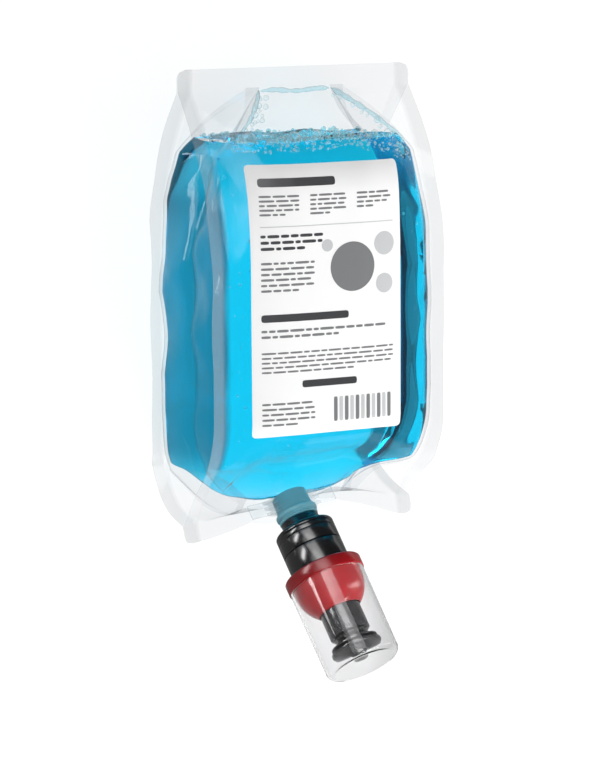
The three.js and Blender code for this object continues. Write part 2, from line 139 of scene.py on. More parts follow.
def grain(x: float, y: float, z: float, scale: float) -> float:
    """Smooth noise between about -1 and 1; scale is the size of its patches."""
    return noise.noise(Vector((x, y, z)) / scale)


# ---------------------------------------------------------------------------
# Shader graphs


class Sock:
    """A number socket of a shader graph that takes part in plain arithmetic."""

    def __init__(self, graph: Graph, socket: NodeSocket) -> None:
        """Wraps a socket of a graph."""
        self.graph = graph
        self.socket = socket

    def math(self, operation: str, first: Value, second: Value) -> Sock:
        """Adds one Math node and gives its result."""
        node = self.graph.add("ShaderNodeMath", {"operation": operation}, {0: first, 1: second})
        return Sock(self.graph, node.outputs[0])

    def __add__(self, other: Value) -> Sock:
        """Sum."""
        return self.math("ADD", self, other)

    def __sub__(self, other: Value) -> Sock:
        """Difference."""
        return self.math("SUBTRACT", self, other)

    def __rsub__(self, other: Value) -> Sock:
        """Reflected difference."""
        return self.math("SUBTRACT", other, self)

    def __mul__(self, other: Value) -> Sock:
        """Product."""
        return self.math("MULTIPLY", self, other)

    def __pow__(self, other: Value) -> Sock:
        """Power."""
        return self.math("POWER", self, other)

    def __rpow__(self, other: Value) -> Sock:
        """Reflected power."""
        return self.math("POWER", other, self)

    def __or__(self, other: Value) -> Sock:
        """The larger of two values."""
        return self.math("MAXIMUM", self, other)

    __radd__, __rmul__, __ror__ = __add__, __mul__, __or__

    def eased(self, low: float, high: float) -> Sock:
        """Eases from 0 at low to 1 at high."""
        ends = {"Value": self, "From Min": low, "From Max": high}
        return self.graph.sock("ShaderNodeMapRange", 0, {"interpolation_type": "SMOOTHSTEP"}, ends)


class Graph:
    """A material, or a world, and its shader nodes."""

    def __init__(self, name: str, world: bool = False) -> None:
        """Starts an empty material or world.

        Args:
            name: its name.
            world: True for a world.
        """
        self.owner = bpy.data.worlds.new(name) if world else bpy.data.materials.new(name)
        self.owner.use_nodes = True
        self.tree = self.owner.node_tree
        self.tree.nodes.clear()
        self.output = self.add("ShaderNodeOutputWorld" if world else "ShaderNodeOutputMaterial")

    def add(self, kind: str, settings: dict | None = None, inputs: dict | None = None) -> Node:
        """Adds any node.

        Args:
            kind: the node's type.
            settings: its properties, set before its sockets.
            inputs: value, Sock or socket for each input name or number.
        Returns:
            The new node.
        """
        node = self.tree.nodes.new(kind)
        for key, value in (settings or {}).items():
            setattr(node, key, value)
        for key, value in (inputs or {}).items():
            if isinstance(value, Sock):
                value = value.socket
            if isinstance(value, NodeSocket):
                self.tree.links.new(value, node.inputs[key])
            else:
                node.inputs[key].default_value = value
        return node

    def sock(
        self, kind: str, name: str | int, settings: dict | None = None, inputs: dict | None = None
    ) -> Sock:
        """Adds any node and gives its named output as a Sock."""
        return Sock(self, self.add(kind, settings, inputs).outputs[name])

    def place(self) -> NodeSocket:
        """Object coordinates."""
        return self.add("ShaderNodeTexCoord").outputs["Object"]

    def ray(self, name: str) -> Sock:
        """Whether a ray is of that kind, 1 or 0."""
        return self.sock("ShaderNodeLightPath", name)

    def layer(self, name: str) -> Sock:
        """A value that the mesh keeps at its points."""
        return self.sock("ShaderNodeAttribute", "Fac", {"attribute_name": name})

    def facing(self, inputs: dict) -> Sock:
        """0 where the surface faces the ray, 1 where it is seen edge-on."""
        return self.sock("ShaderNodeLayerWeight", "Facing", None, {"Blend": 0.5, **inputs})

    def noise(self, scale: float, detail: float = 2.0, stretch: Triple = (1, 1, 1)) -> Sock:
        """Noise over the object, from 0 to 1.

        Args:
            scale: patches for each metre.
            detail: octaves of finer noise.
            stretch: factors on the three coordinates.
        Returns:
            The noise value.
        """
        factors = {0: self.place(), 1: stretch}
        moved = self.add("ShaderNodeVectorMath", {"operation": "MULTIPLY"}, factors)
        inputs = {"Vector": moved.outputs[0], "Scale": scale, "Detail": detail}
        return self.sock("ShaderNodeTexNoise", 0, None, inputs)

    def blend(self, factor: Value, first: Iterable[float], second: Iterable[float]) -> NodeSocket:
        """A colour that is the first at factor 0 and the second at factor 1."""
        inputs = {0: factor, 6: (*first, 1.0), 7: (*second, 1.0)}
        return self.add("ShaderNodeMix", {"data_type": "RGBA"}, inputs).outputs[2]

    def bump(self, height: Sock, distance: float, strength: float) -> NodeSocket:
        """A normal from a height of 0 to 1, where 1 is a distance in metres."""
        inputs = {"Strength": strength, "Distance": distance, "Height": height}
        return self.add("ShaderNodeBump", None, inputs).outputs[0]

    def principled(self, inputs: dict) -> Node:
        """A Principled shader."""
        return self.add("ShaderNodeBsdfPrincipled", None, inputs)

    def see_through(self, tint: Triple) -> Node:
        """A Transparent shader."""
        return self.add("ShaderNodeBsdfTransparent", None, {"Color": (*tint, 1.0)})

    def diffuse(self, tone: float) -> Node:
        """A Diffuse shader in a grey."""
        return self.add("ShaderNodeBsdfDiffuse", None, {"Color": (tone, tone, tone, 1.0)})

    def mix(self, factor: Value, first: Node, second: Node) -> Node:
        """A Mix Shader of two shaders."""
        inputs = {0: factor, 1: first.outputs[0], 2: second.outputs[0]}
        return self.add("ShaderNodeMixShader", None, inputs)

    def clear_to_lamps(self, shader: Node, tint: Triple) -> Node:
        """Lets lamps shine through a clear surface, in a tint."""
        return self.mix(self.ray("Is Shadow Ray"), shader, self.see_through(tint))

    def surface(self, shader: Node) -> Union[Material, bpy.types.World]:
        """Links the surface shader and gives the material or world."""
        self.tree.links.new(shader.outputs[0], self.output.inputs["Surface"])
        return self.owner


# ---------------------------------------------------------------------------
# Finishes


@dataclass(frozen=True)
class FilmFinish:
    """Clear laminate film: see-through, with a grey veil that is denser where plies are welded."""

    name: str = "film_look"
    clear: Triple = (0.95, 0.953, 0.957)
    dull: Triple = (0.3, 0.31, 0.32)
    pale: Triple = (0.6, 0.61, 0.62)
    veil: float = 0.018
    welded: float = 0.2
    edge: float = 0.05
    roughness: float = 0.1
    gloss: float = 0.018
    grazing: float = 0.28
    crinkle: float = 0.0004
    fine: float = 420.0
    broad: float = 60.0

    def material(self) -> Material:
        """Builds the material.

        Returns:
            The material.
        """
        g = Graph(self.name)
        fine = g.noise(self.fine, 3.0, (1.0, 0.45, 1.0))
        broad = g.noise(self.broad, 3.0, (1.0, 0.5, 1.0))
        normal = g.bump(fine * 0.2 + broad, self.crinkle, 0.6)
        weld = g.layer(WELD_LAYER)
        skin = g.principled(
            {
                "Base Color": g.blend(weld | 0.5 * broad, self.dull, self.pale),
                "Roughness": self.roughness + 0.06 * fine,
                "IOR": 1.5,
                "Normal": normal,
            }
        )
        facing = g.facing({"Normal": normal})
        amount = self.veil * (0.6 + 0.8 * broad) + self.welded * weld + self.edge * facing**3.0
        shine = {"Roughness": self.roughness, "Normal": normal}
        gloss = g.add("ShaderNodeBsdfGlossy", None, shine)
        glance = self.gloss + self.grazing * facing**5.0
        return g.surface(g.mix(glance, g.mix(amount, g.see_through(self.clear), skin), gloss))


@dataclass(frozen=True)
class SoapFinish:
    """Clear cyan soap that takes its colour from its depth, with painted shade through the gussets.
    """

    name: str = "soap_look"
    density: float = 80.0
    colour: Triple = (0.0, 0.955, 0.965)
    panel: Triple = (0.3, 0.72, 1.0)
    # painted shade: the soap's dark tint behind the gussets
    flank: Triple = (0.03, 0.105, 0.175)
    shadow: Triple = (0.45, 0.93, 0.98)
    ripple: float = 45.0
    ior: float = 1.15

    def material(self) -> Material:
        """Builds the material.

        Returns:
            The material.
        """
        g = Graph(self.name)
        ripple = g.noise(self.ripple, 2.0, (1.0, 0.6, 1.0))
        glass = g.principled(
            {
                # painted shade: the gusset layer blends in the dark tint
                "Base Color": g.blend(g.layer(GUSSET_SHADE_LAYER), self.panel, self.flank),
                "Roughness": 0.0,
                "IOR": self.ior,
                "Transmission Weight": 1.0,
                "Normal": g.bump(ripple, 0.0006, 0.35),
            }
        )
        inputs = {"Color": (*self.colour, 1.0), "Density": self.density}
        depth = g.add("ShaderNodeVolumeAbsorption", None, inputs)
        g.tree.links.new(depth.outputs[0], g.output.inputs["Volume"])
        return g.surface(g.clear_to_lamps(glass, self.shadow))


@dataclass(frozen=True)
class BubbleFinish:
    """Thin-walled bubbles and wet edges: clear middles, a painted pale sheen and painted darker
    rims by view angle.
    """

    name: str
    tint: Triple
    # painted shade: the colour of the rims seen edge-on
    rim: Triple = (0.05, 0.32, 0.4)
    cover: float = 0.85
    haze: float = 0.1
    swirl: float = 900.0

    def material(self) -> Material:
        """Builds the material.

        Returns:
            The material.
        """
        g = Graph(self.name)
        facing = g.facing({})
        # painted pale sheen where the wall faces the eye, painted darker rims where it is seen
        # edge-on
        painted_sheen = [0.75 + 0.25 * c for c in self.tint]
        skin = g.principled(
            {
                "Base Color": g.blend(facing.eased(0.45, 0.9), painted_sheen, self.rim),
                "Roughness": 0.04 + 0.04 * g.noise(self.swirl, 1.0),
                "IOR": 1.4,
            }
        )
        amount = self.haze + self.cover * facing.eased(0.2, 0.85)
        return g.surface(g.mix(amount, g.see_through(self.tint), skin))


@dataclass(frozen=True)
class PaperFinish:
    """Satin white label stock."""

    name: str = "label_look"
    colour: Triple = (0.8, 0.8, 0.8)
    fibre: float = 1500.0
    cloud: float = 40.0

    def material(self) -> Material:
        """Builds the material.

        Returns:
            The material.
        """
        g = Graph(self.name)
        fibre = g.noise(self.fibre, 3.0)
        tone = [0.965 * c for c in self.colour]
        inputs = {
            "Base Color": g.blend(g.noise(self.cloud), tone, self.colour),
            "Roughness": 0.38 + 0.08 * fibre,
            "Normal": g.bump(fibre, 0.00002, 0.4),
        }
        return g.surface(g.principled(inputs))


@dataclass(frozen=True)
class InkFinish:
    """Printing ink with a slightly uneven cover."""

    name: str
    colour: Triple
    cover: float = 2500.0

    def material(self) -> Material:
        """Builds the material.

        Returns:
            The material.
        """
        g = Graph(self.name)
        cover = g.noise(self.cover)
        pale = [c * 0.85 + 0.02 for c in self.colour]
        tone = g.blend(cover, self.colour, pale)
        return g.surface(g.principled({"Base Color": tone, "Roughness": 0.42 + 0.06 * cover}))


@dataclass(frozen=True)
class PlasticFinish:
    """Moulded plastic with fine grain and slight scuffing."""

    name: str
    colour: Triple
    roughness: float = 0.3
    transmission: float = 0.0
    shine: float = 0.5
    fine: float = 2600.0
    cloud: float = 120.0

    def material(self) -> Material:
        """Builds the material.

        Returns:
            The material.
        """
        g = Graph(self.name)
        cloud = g.noise(self.cloud, 3.0)
        lighter = [min(1.0, c * 1.12 + 0.002) for c in self.colour]
        inputs = {
            "Base Color": g.blend(cloud, self.colour, lighter),
            "Roughness": self.roughness + 0.08 * cloud,
            "Transmission Weight": self.transmission,
            "Specular IOR Level": self.shine,
            "Normal": g.bump(g.noise(self.fine), 0.00003, 0.25),
        }
        return g.surface(g.principled(inputs))


@dataclass(frozen=True)
class ClearFinish:
    """Clear moulded cap."""

    name: str = "clear_look"
    thick: Triple = (0.86, 0.863, 0.868)
    thin: Triple = (0.9, 0.902, 0.906)
    shadow: Triple = (0.6, 0.6, 0.61)
    flow: float = 70.0
    ior: float = 1.2

    def material(self) -> Material:
        """Builds the material.

        Returns:
            The material.
        """
        g = Graph(self.name)
        flow = g.noise(self.flow, 2.0, (1.0, 1.0, 0.5))
        glass = g.principled(
            {
                "Base Color": g.blend(flow, self.thick, self.thin),
                "Roughness": 0.02,
                "IOR": self.ior,
                "Coat Weight": 0.3,
                "Coat Roughness": 0.03,
                "Transmission Weight": 1.0,
                "Normal": g.bump(flow, 0.0003, 0.25),
            }
        )
        return g.surface(g.clear_to_lamps(glass, self.shadow))


@dataclass(frozen=True)
class FloorFinish:
    """White light table that keeps the pack's shadow.

    Through soap and glass it shows a painted pool of light, brighter under the pack and dimmer
    beside it, and in mirror images a painted darker floor in a band near the pump, between the
    places given in metres.
    """

    name: str = "floor_look"
    glow: float = 0.9
    # painted pool of light seen through soap and glass: under is its level near the pack, beside
    # its level away from it
    under: float = 1.08
    lit: float = 0.14
    plain: float = 0.75
    beside: float = 0.5
    # painted shade in mirror images: the floor's level near the pump and away from it
    painted_reflection: Pair = (0.1, 0.75)
    upper: Pair = (-0.05, 0.03)
    ahead: Pair = (0.19, 0.25)
    left: Pair = (0.035, 0.06)
    right: Pair = (0.04, 0.08)
    above: Pair = (0.02, 0.075)
    below: Pair = (0.12, 0.3)

    def material(self) -> Material:
        """Builds the material.

        Returns:
            The material.
        """
        g = Graph(self.name)
        camera = g.ray("Is Camera Ray")
        glossy = g.ray("Is Glossy Ray")
        mirror = g.ray("Is Reflection Ray") * glossy
        inside = glossy | g.ray("Is Transmission Ray")
        across, along = (g.sock("ShaderNodeSeparateXYZ", i, None, {0: g.place()}) for i in (0, 1))
        # Painted light: a brighter pool under the pack through soap and glass, and a darker floor
        # near the pump in mirror images.
        low, high = self.painted_reflection
        bright = along.eased(*self.upper) | (0.0 - along).eased(*self.ahead)
        painted_reflection = low + (high - low) * bright
        fade = (0.0 - across).eased(*self.left) | across.eased(*self.right)
        fade = fade | along.eased(*self.above) | (0.0 - along).eased(*self.below)
        through = self.under - (self.under - self.beside) * fade
        around = through - mirror * (through - painted_reflection)
        level = camera * self.glow + (1.0 - camera) * around
        glow = g.add("ShaderNodeEmission", None, {"Strength": level})
        shade = g.diffuse(self.lit)
        both = g.add("ShaderNodeAddShader", None, {0: glow.outputs[0], 1: shade.outputs[0]})
        return g.surface(g.mix(camera | inside, g.diffuse(self.plain), both))


# ---------------------------------------------------------------------------
# Mesh helpers


class Piece:
    """One visible piece while it is modelled, in millimetres."""

    def __init__(self, name: str) -> None:
        """Starts an empty piece."""
        self.name = name
        self.bm = bmesh.new()

    def grid(self, columns: int, rows: int, place: Callable[[float, float], Vector]) -> Verts:
        """Adds a grid and moves its points onto a surface.

        Args:
            columns: faces across.
            rows: faces along.
            place: the surface point for two shares from 0 to 1.
        Returns:
            The new points.
        """
        made = bmesh.ops.create_grid(self.bm, x_segments=columns, y_segments=rows, size=0.5)
        for vert in made["verts"]:
            vert.co = place(vert.co.x + 0.5, vert.co.y + 0.5)
        return made["verts"]

    def woven(self, table: Sequence[Sequence[Vector]]) -> Verts:
        """Adds a grid through closed rings of points, from the first ring to the last."""
        rows, count = len(table) - 1, len(table[0])
        return self.grid(count, rows, lambda u, v: table[round(v * rows)][round(u * count) % count])

    def turned(self, profile: Profile, steps: int, bevel: float) -> None:
        """Makes the piece a solid of revolution about +Z.

        Args:
            profile: closed outline of (radius, distance along the axis).
            steps: faces round the axis.
            bevel: width of the rounding on its sharp edges, or 0.
        """
        bm = self.bm
        ring = [bm.verts.new((r, 0.0, t)) for r, t in profile]
        pairs = zip(ring, ring[1:] + ring[:1])
        edges = [bm.edges.new(p) for p in pairs if max(abs(v.co.x) for v in p) > 1e-6]
        turn = {"axis": (0, 0, 1), "cent": (0, 0, 0), "angle": 2 * math.pi, "steps": steps}
        bmesh.ops.spin(bm, geom=ring + edges, use_merge=True, **turn)
        bmesh.ops.remove_doubles(bm, verts=bm.verts[:], dist=1e-4)
        self.face_out()
        if bevel > 0:
            sharp = [e for e in bm.edges if e.calc_face_angle(0.0) > BEVEL_ANGLE]
            form = {"affect": "EDGES", "segments": 2, "profile": 0.5, "material": -1}
            bmesh.ops.bevel(bm, geom=sharp, offset=bevel, **form)

    def face_out(self) -> None:
        """Turns all faces outwards."""
        bmesh.ops.recalc_face_normals(self.bm, faces=self.bm.faces[:])

    def finish(
        self, body: Body, slot: Slot, materials: Sequence[Material], replaced: Sequence[str] = ()
    ) -> None:
        """Turns the piece into an object of the scene.

        Args:
            body: the body that it rides on.
            slot: the record's slot; not used.
            materials: its materials in the order of its faces' indices.
            replaced: the CAD nodes that it stands for.
        """
        self.bm.transform(Matrix.Scale(MM, 4))
        mesh = bpy.data.meshes.new(self.name)
        self.bm.to_mesh(mesh)
        self.bm.free()
        mesh.polygons.foreach_set("use_smooth", [True] * len(mesh.polygons))
        mesh.set_sharp_from_angle(angle=SHARP)
        for material in materials:
            mesh.materials.append(material)
        obj = bpy.data.objects.new(self.name, mesh)
        bpy.context.scene.collection.objects.link(obj)
        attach(obj, body.value)
        if replaced:
            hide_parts(*replaced)
        LOG.info("%s: %d faces", self.name, len(mesh.polygons))


# ---------------------------------------------------------------------------
# The pouch


@dataclass
class PouchForm:
    """Shape of the side-gusset pouch in mm: straight first, then bent at its foot and laid flat.

    A pair holds the front panel's value and the back panel's.
    """

    top_y: float = 98.0
    foot_y: float = -104.0
    top_line: float = 89.0
    foot_line: float = -95.6
    half_w: float = 48.0
    half_d: float = 31.0
    fin_w: float = 7.3
    lean: float = 48.0
    lean_over: float = 10.0
    weld: float = 1.0
    seal: float = 0.5
    corner: float = 4.0
    crown: Pair = (7.2, 4.0)
    fold_top: float = 75.0
    fold_foot: Pair = (46.0, 34.0)
    lift_top: float = 44.0
    lift_foot: Pair = (48.0, 38.0)
    flatness: float = 3.2
    end_fold: float = 1.3
    side_dent: float = 0.22
    soft_wave: float = 0.5
    tuck: float = 1.5
    belly: float = 6.5
    crease: float = 1.7
    crease_right: float = 0.45
    floor: float = 34.0
    neck_r: float = 8.3
    boat_half: float = 21.8
    spout_x: float = -2.5
    boat_y: float = -91.5
    foot_rise: float = 8.3
    bend_reach: float = 46.0
    wrap: float = 0.8
    axis: Vector = field(default_factory=lambda: Vector((0.118972, -0.786663, 0.605812)))

    def __post_init__(self) -> None:
        """Works out the hinge that the foot bends round."""
        straight = Vector((0.0, -1.0, 0.0))
        self.hinge = Vector((self.spout_x, self.boat_y, 0.0))
        self.bend_axis = straight.cross(self.axis).normalized()
        self.bend_angle = straight.angle(self.axis)

    def seat(self) -> Matrix:
        """Turns pieces drawn along +Z onto the pump's axis.

        Returns:
            The matrix.
        """
        turn = Vector((0.0, 0.0, 1.0)).rotation_difference(self.axis).to_matrix().to_4x4()
        base = self.hinge + Vector((0.0, 0.0, self.floor))
        return Matrix.Translation(base) @ turn

    def ends(self, y: float) -> Pair:
        """Distances from the top seal and from the foot seal."""
        return self.top_line - y, y - self.foot_line

    def boat(self, x: float) -> float:
        """Half thickness of the spout's weld base at a distance from its middle."""
        u = clamp(abs(x) / self.boat_half)
        return self.neck_r * (1.0 - u * u)

    def band(self, x: float) -> float:
        """Half thickness of the foot seal, wrapped round the weld base."""
        away = abs(x - self.spout_x) >= self.boat_half + 1.0
        return self.seal if away else max(self.seal, self.boat(x - self.spout_x) + self.wrap)

    def pucker(self, x: float, y: float, side: Side) -> float:
        """Small folds of a panel: lengthwise at both ends, dents along its side edges.

        Args:
            x: distance from the middle.
            y: place along the pouch.
            side: which panel.
        Returns:
            The height that they add.
        """
        top, foot = self.ends(y)
        ends = smoothstep(top, 2, 10) * (1 - smoothstep(top, 16, 46))
        ends += 0.5 * smoothstep(foot, 5, 16) * (1 - smoothstep(foot, 24, 52))
        folds = 0.5 - abs(grain(x + 0.12 * y, y * 0.22, 7.0 * side, 9.0))
        inner = smoothstep(self.half_w - abs(x), 0, 8)
        middle = smoothstep(min(top, foot), 8, 40)
        edge = smoothstep(abs(x), 0.74 * self.half_w, 0.96 * self.half_w) * middle
        dents = grain(x * 0.5, y, 31.0 + side, 11.0)
        soft = grain(x, y * 0.6, 12.0 * side, 34.0) * middle
        height = self.end_fold * ends * folds * inner + self.side_dent * edge * dents
        return height + self.soft_wave * soft

    def panel(self, x: float, y: float, side: Side) -> float:
        """Height of a panel over the middle plane of the straight pouch.

        Args:
            x: distance from the middle.
            y: place along the pouch.
            side: which panel.
        Returns:
            The height, negative on the back.
        """
        top, foot = self.ends(y)
        if top <= 0:
            return side * self.seal
        if foot <= 0:
            return side * self.band(x)
        at = 0 if side is Side.FRONT else 1
        fold = self.half_d * rise(top, self.fold_top, 2.0) * rise(foot, self.fold_foot[at], 2.2)
        start = self.neck_r + self.wrap
        lift = lerp(start, self.half_d + self.crown[at], rise(foot, self.lift_foot[at], 1.8))
        middle = max(fold, lift * rise(top, self.lift_top, 2.2))
        u = min(abs(x) / self.half_w, 1.0)
        height = fold + (middle - fold) * (1.0 - u**self.flatness)
        height += self.pucker(x, y, side)
        near = self.band(x) if foot < 12 else self.seal
        return side * max(height, near)

    def bend(self, x: float, foot: float, z: float) -> float:
        """How much a point follows the bend at the foot.

        Args:
            x: distance from the middle.
            foot: distance from the foot seal.
            z: height over the middle plane.
        Returns:
            1 at the spout, 0 up the pack.
        """
        away = (abs(x - self.spout_x) - self.boat_half) / (self.half_w - self.boat_half)
        stiff = 1 - 0.6 * smoothstep(abs(z), self.neck_r + 1.5, self.half_d)
        near = 1 - smoothstep(foot, 3, self.bend_reach)
        return stiff * near * (0.35 + 0.65 * (1 - clamp(away)))

    def laid(self, x: float, y: float, z: float, lift: float) -> Vector:
        """A point of the straight pouch, bent at its foot and laid on its back.

        Args:
            x: distance from the middle.
            y: place along the pouch.
            z: height over the middle plane.
            lift: least height over the table.
        Returns:
            The point in the part's frame.
        """
        away = abs(x - self.spout_x) - self.boat_half
        up = self.foot_rise * (1 - clamp(away / (self.half_w + self.fin_w - self.boat_half)))
        foot = y - self.foot_line
        p = Vector((x, y + up * (1 - smoothstep(foot, 0, 45)), z)) - self.hinge
        angle = self.bend_angle * self.bend(x, foot, z)
        p = Matrix.Rotation(angle, 3, self.bend_axis) @ p + self.hinge
        p.z = max(p.z, lift - self.floor) + self.floor
        return p

    def gusset(self, y: float) -> Pair:
        """Where a gusset leaves the panels and where its centre fold is.

        Args:
            y: place along the pouch.
        Returns:
            Both distances from the pouch's middle.
        """
        y = clamp(y, self.foot_line + 0.01, self.top_line - 0.01)
        top, foot = self.ends(y)
        tip_top = self.half_w - self.half_d
        tip_foot = max(tip_top, self.boat_half + abs(self.spout_x) + 1.5)
        reach = self.half_w - self.weld
        edge_top = lerp(tip_top, reach, clamp(top / 27))
        edge_foot = lerp(tip_foot, reach, clamp(foot / 20))
        fold_top = lerp(tip_top, self.half_w, rise(top, 80, 1.7))
        fold_foot = lerp(tip_foot, self.half_w, rise(foot, 48, 1.7))
        tuck = self.tuck * rise(min(top, foot), 40, 1)
        return min(edge_top, edge_foot), min(fold_top, fold_foot) - tuck

    def creases(self, y: float, t: float, hand: Hand) -> float:
        """Sharp slanting folds of a gusset.

        Args:
            y: place along the pouch.
            t: from 0 at the front panel to 1 at the back panel.
            hand: which gusset.
        Returns:
            Their height, between about -2 and 1.
        """
        first = abs(grain(y + 38.0 * t, 12.0 * t, 5.0 * hand, 40.0))
        second = abs(grain(y - 52.0 * t, 24.0 * t, 9.0 * hand, 34.0))
        fine = abs(grain(0.7 * y + 60.0 * t, 40.0 * t, 13.0 * hand, 17.0))
        return 1.0 - 2.4 * first - 2.0 * second - 0.35 * fine

    def flank(self, y: float, t: float, hand: Hand, inset: float) -> Pair:
        """A point of a gusset.

        Args:
            y: place along the pouch.
            t: from 0 at the front panel to 1 at the back panel.
            hand: which gusset.
            inset: distance inwards from the film.
        Returns:
            Its x and height.
        """
        edge, fold = self.gusset(y)
        share = 1.0 - abs(2.0 * t - 1.0)
        side = Side.FRONT if t <= 0.5 else Side.BACK
        z = lerp(self.panel(edge, y, side), 0.0, share)
        full = rise(min(self.ends(y)), 45, 1.5)
        swell = 1.0 - (2.0 * share - 1.0) ** 4
        crease = self.crease * (self.crease_right if hand is Hand.RIGHT else 1.0)
        x = lerp(edge, fold, share)
        x += full * swell * (self.belly + crease * self.creases(y, t, hand))
        if inset > 0:
            z = z - math.copysign(0.6 * inset, z) if abs(z) > inset else 0.4 * z
        return hand * (x - inset), z

    def inward(self, x: float, y: float, side: Side, inset: float) -> Triple:
        """A panel point moved into the pouch, square to the panel.

        Args:
            x: distance from the middle.
            y: place along the pouch.
            side: which panel.
            inset: distance inwards.
        Returns:
            Its x, y and height.
        """
        step = 0.6
        slope_x = (self.panel(x + step, y, side) - self.panel(x - step, y, side)) / (2 * step)
        slope_y = (self.panel(x, y + step, side) - self.panel(x, y - step, side)) / (2 * step)
        move = side * inset / math.sqrt(slope_x**2 + slope_y**2 + 1.0)
        return x + slope_x * move, y + slope_y * move, self.panel(x, y, side) - move


@dataclass
class FilmPouch:
    """The clear film: two panels, two gussets and four corner seals; welded plies are one sheet."""

    form: PouchForm
    across: int = 72
    rows: int = 190
    fin_steps: int = 3
    under_steps: int = 5
    side_steps: int = 30
    ply: float = 0.22
    wobble: float = 0.22
    clear: float = 0.05

    def fin(self, y: float, side: Side, hand: Hand, share: float) -> Pair:
        """A point of a corner seal.

        Args:
            y: place along the pouch.
            side: which panel it is on.
            hand: which gusset.
            share: 0 at the panel's edge, 1 at the seal's outer edge.
        Returns:
            Its x and height.
        """
        f = self.form
        top, foot = f.ends(y)
        over = side is Side.FRONT and hand is Hand.LEFT
        lean = f.lean_over if over else f.lean
        tilt = math.radians(lean) * smoothstep(top, 0, 45) * smoothstep(foot, 0, 30)
        wave = grain(y, 9.0 * side, 4.0 * hand, 23.0)
        tilt += self.wobble * wave * smoothstep(min(top, foot), 2, 30)
        end = clamp(min(f.top_y - y, y - f.foot_y), 0.0, f.corner)
        cut = f.corner - math.sqrt(f.corner**2 - (f.corner - end) ** 2)
        width = share * (f.fin_w - cut)
        z = f.panel(f.half_w, y, side)
        return hand * (f.half_w + width * math.cos(tilt)), z + side * width * math.sin(tilt)

    def half(self, y: float, side: Side) -> list[Pair]:
        """One panel from its left corner seal to its right one.

        Args:
            y: place along the pouch.
            side: which panel.
        Returns:
            The x and height of each point.
        """
        f = self.form
        steps = range(self.fin_steps)
        left = [self.fin(y, side, Hand.LEFT, 1 - i / self.fin_steps) for i in steps]
        right = [self.fin(y, side, Hand.RIGHT, (i + 1) / self.fin_steps) for i in steps]
        xs = [lerp(-f.half_w, f.half_w, i / self.across) for i in range(self.across + 1)]
        return left + [(x, f.panel(x, y, side)) for x in xs] + right

    def under(self, y: float, side: Side, hand: Hand) -> list[Pair]:
        """The inner ply of a corner seal, from its outer edge to the gusset.

        Args:
            y: place along the pouch.
            side: which panel it is on.
            hand: which gusset.
        Returns:
            The x and height of each point.
        """
        f = self.form
        edge, _ = f.gusset(y)
        inner = [self.fin(y, side, hand, 1 - i / self.fin_steps) for i in range(self.fin_steps)]
        xs = [lerp(f.half_w, edge, i / self.under_steps) for i in range(self.under_steps + 1)]
        inner += [(hand * x, f.panel(x, y, side)) for x in xs]
        return [(x, z - side * self.ply) for x, z in inner]

    def side(self, y: float, hand: Hand) -> list[Pair]:
        """One gusset from the front corner seal to the back one, with the inner ply of both.

        Args:
            y: place along the pouch.
            hand: which gusset.
        Returns:
            The x and height of each point.
        """
        steps = range(1, self.side_steps + 1)
        flank = [self.form.flank(y, i / (self.side_steps + 1), hand, 0.0) for i in steps]
        front, back = (self.under(y, side, hand) for side in Side)
        return front + flank + back[::-1]

    def ring(self, y: float) -> list[Vector]:
        """All points of one row, round the pouch.

        Args:
            y: place along the pouch.
        Returns:
            The points in the part's frame.
        """
        lift = self.clear
        front, back = ([(x, z, lift) for x, z in self.half(y, side)] for side in Side)
        right, left = ([(x, z, lift + self.ply) for x, z in self.side(y, k)] for k in Hand)
        loop = front + right + back[::-1] + left[::-1]
        return [self.form.laid(x, y, z, low) for x, z, low in loop]

    def build(self, film: Material) -> None:
        """Models the film.

        Args:
            film: its material.
        """
        f = self.form
        piece = Piece("film_skin")
        ys = [lerp(f.foot_y, f.top_y, j / self.rows) for j in range(self.rows + 1)]
        table = [self.ring(y) for y in ys]
        columns = len(table[0]) + 1
        weld = piece.bm.verts.layers.float.new(WELD_LAYER)
        panel = len(self.half(0.0, Side.FRONT))
        flank = len(self.side(0.0, Hand.RIGHT))
        lined = self.fin_steps + self.under_steps
        for i, vert in enumerate(piece.woven(table)):
            at = i % columns % len(table[0]) % (panel + flank)
            inner = at - panel
            on_fin = at < self.fin_steps or panel - self.fin_steps <= at < panel
            vert[weld] = 1.0 if on_fin else 0.0
            welded = 0 <= inner < lined or inner > flank - 1 - lined
            flat = inner >= 0 and not f.foot_line < ys[i // columns] < f.top_line
            vert.tag = welded or flat
        piece.face_out()
        inner_ply = [face for face in piece.bm.faces if all(v.tag for v in face.verts)]
        bmesh.ops.delete(piece.bm, geom=inner_ply, context="FACES")
        bmesh.ops.remove_doubles(piece.bm, verts=piece.bm.verts[:], dist=0.005)
        piece.finish(Body.PACK, Slot.FILM, [film], ["pouch_film"])


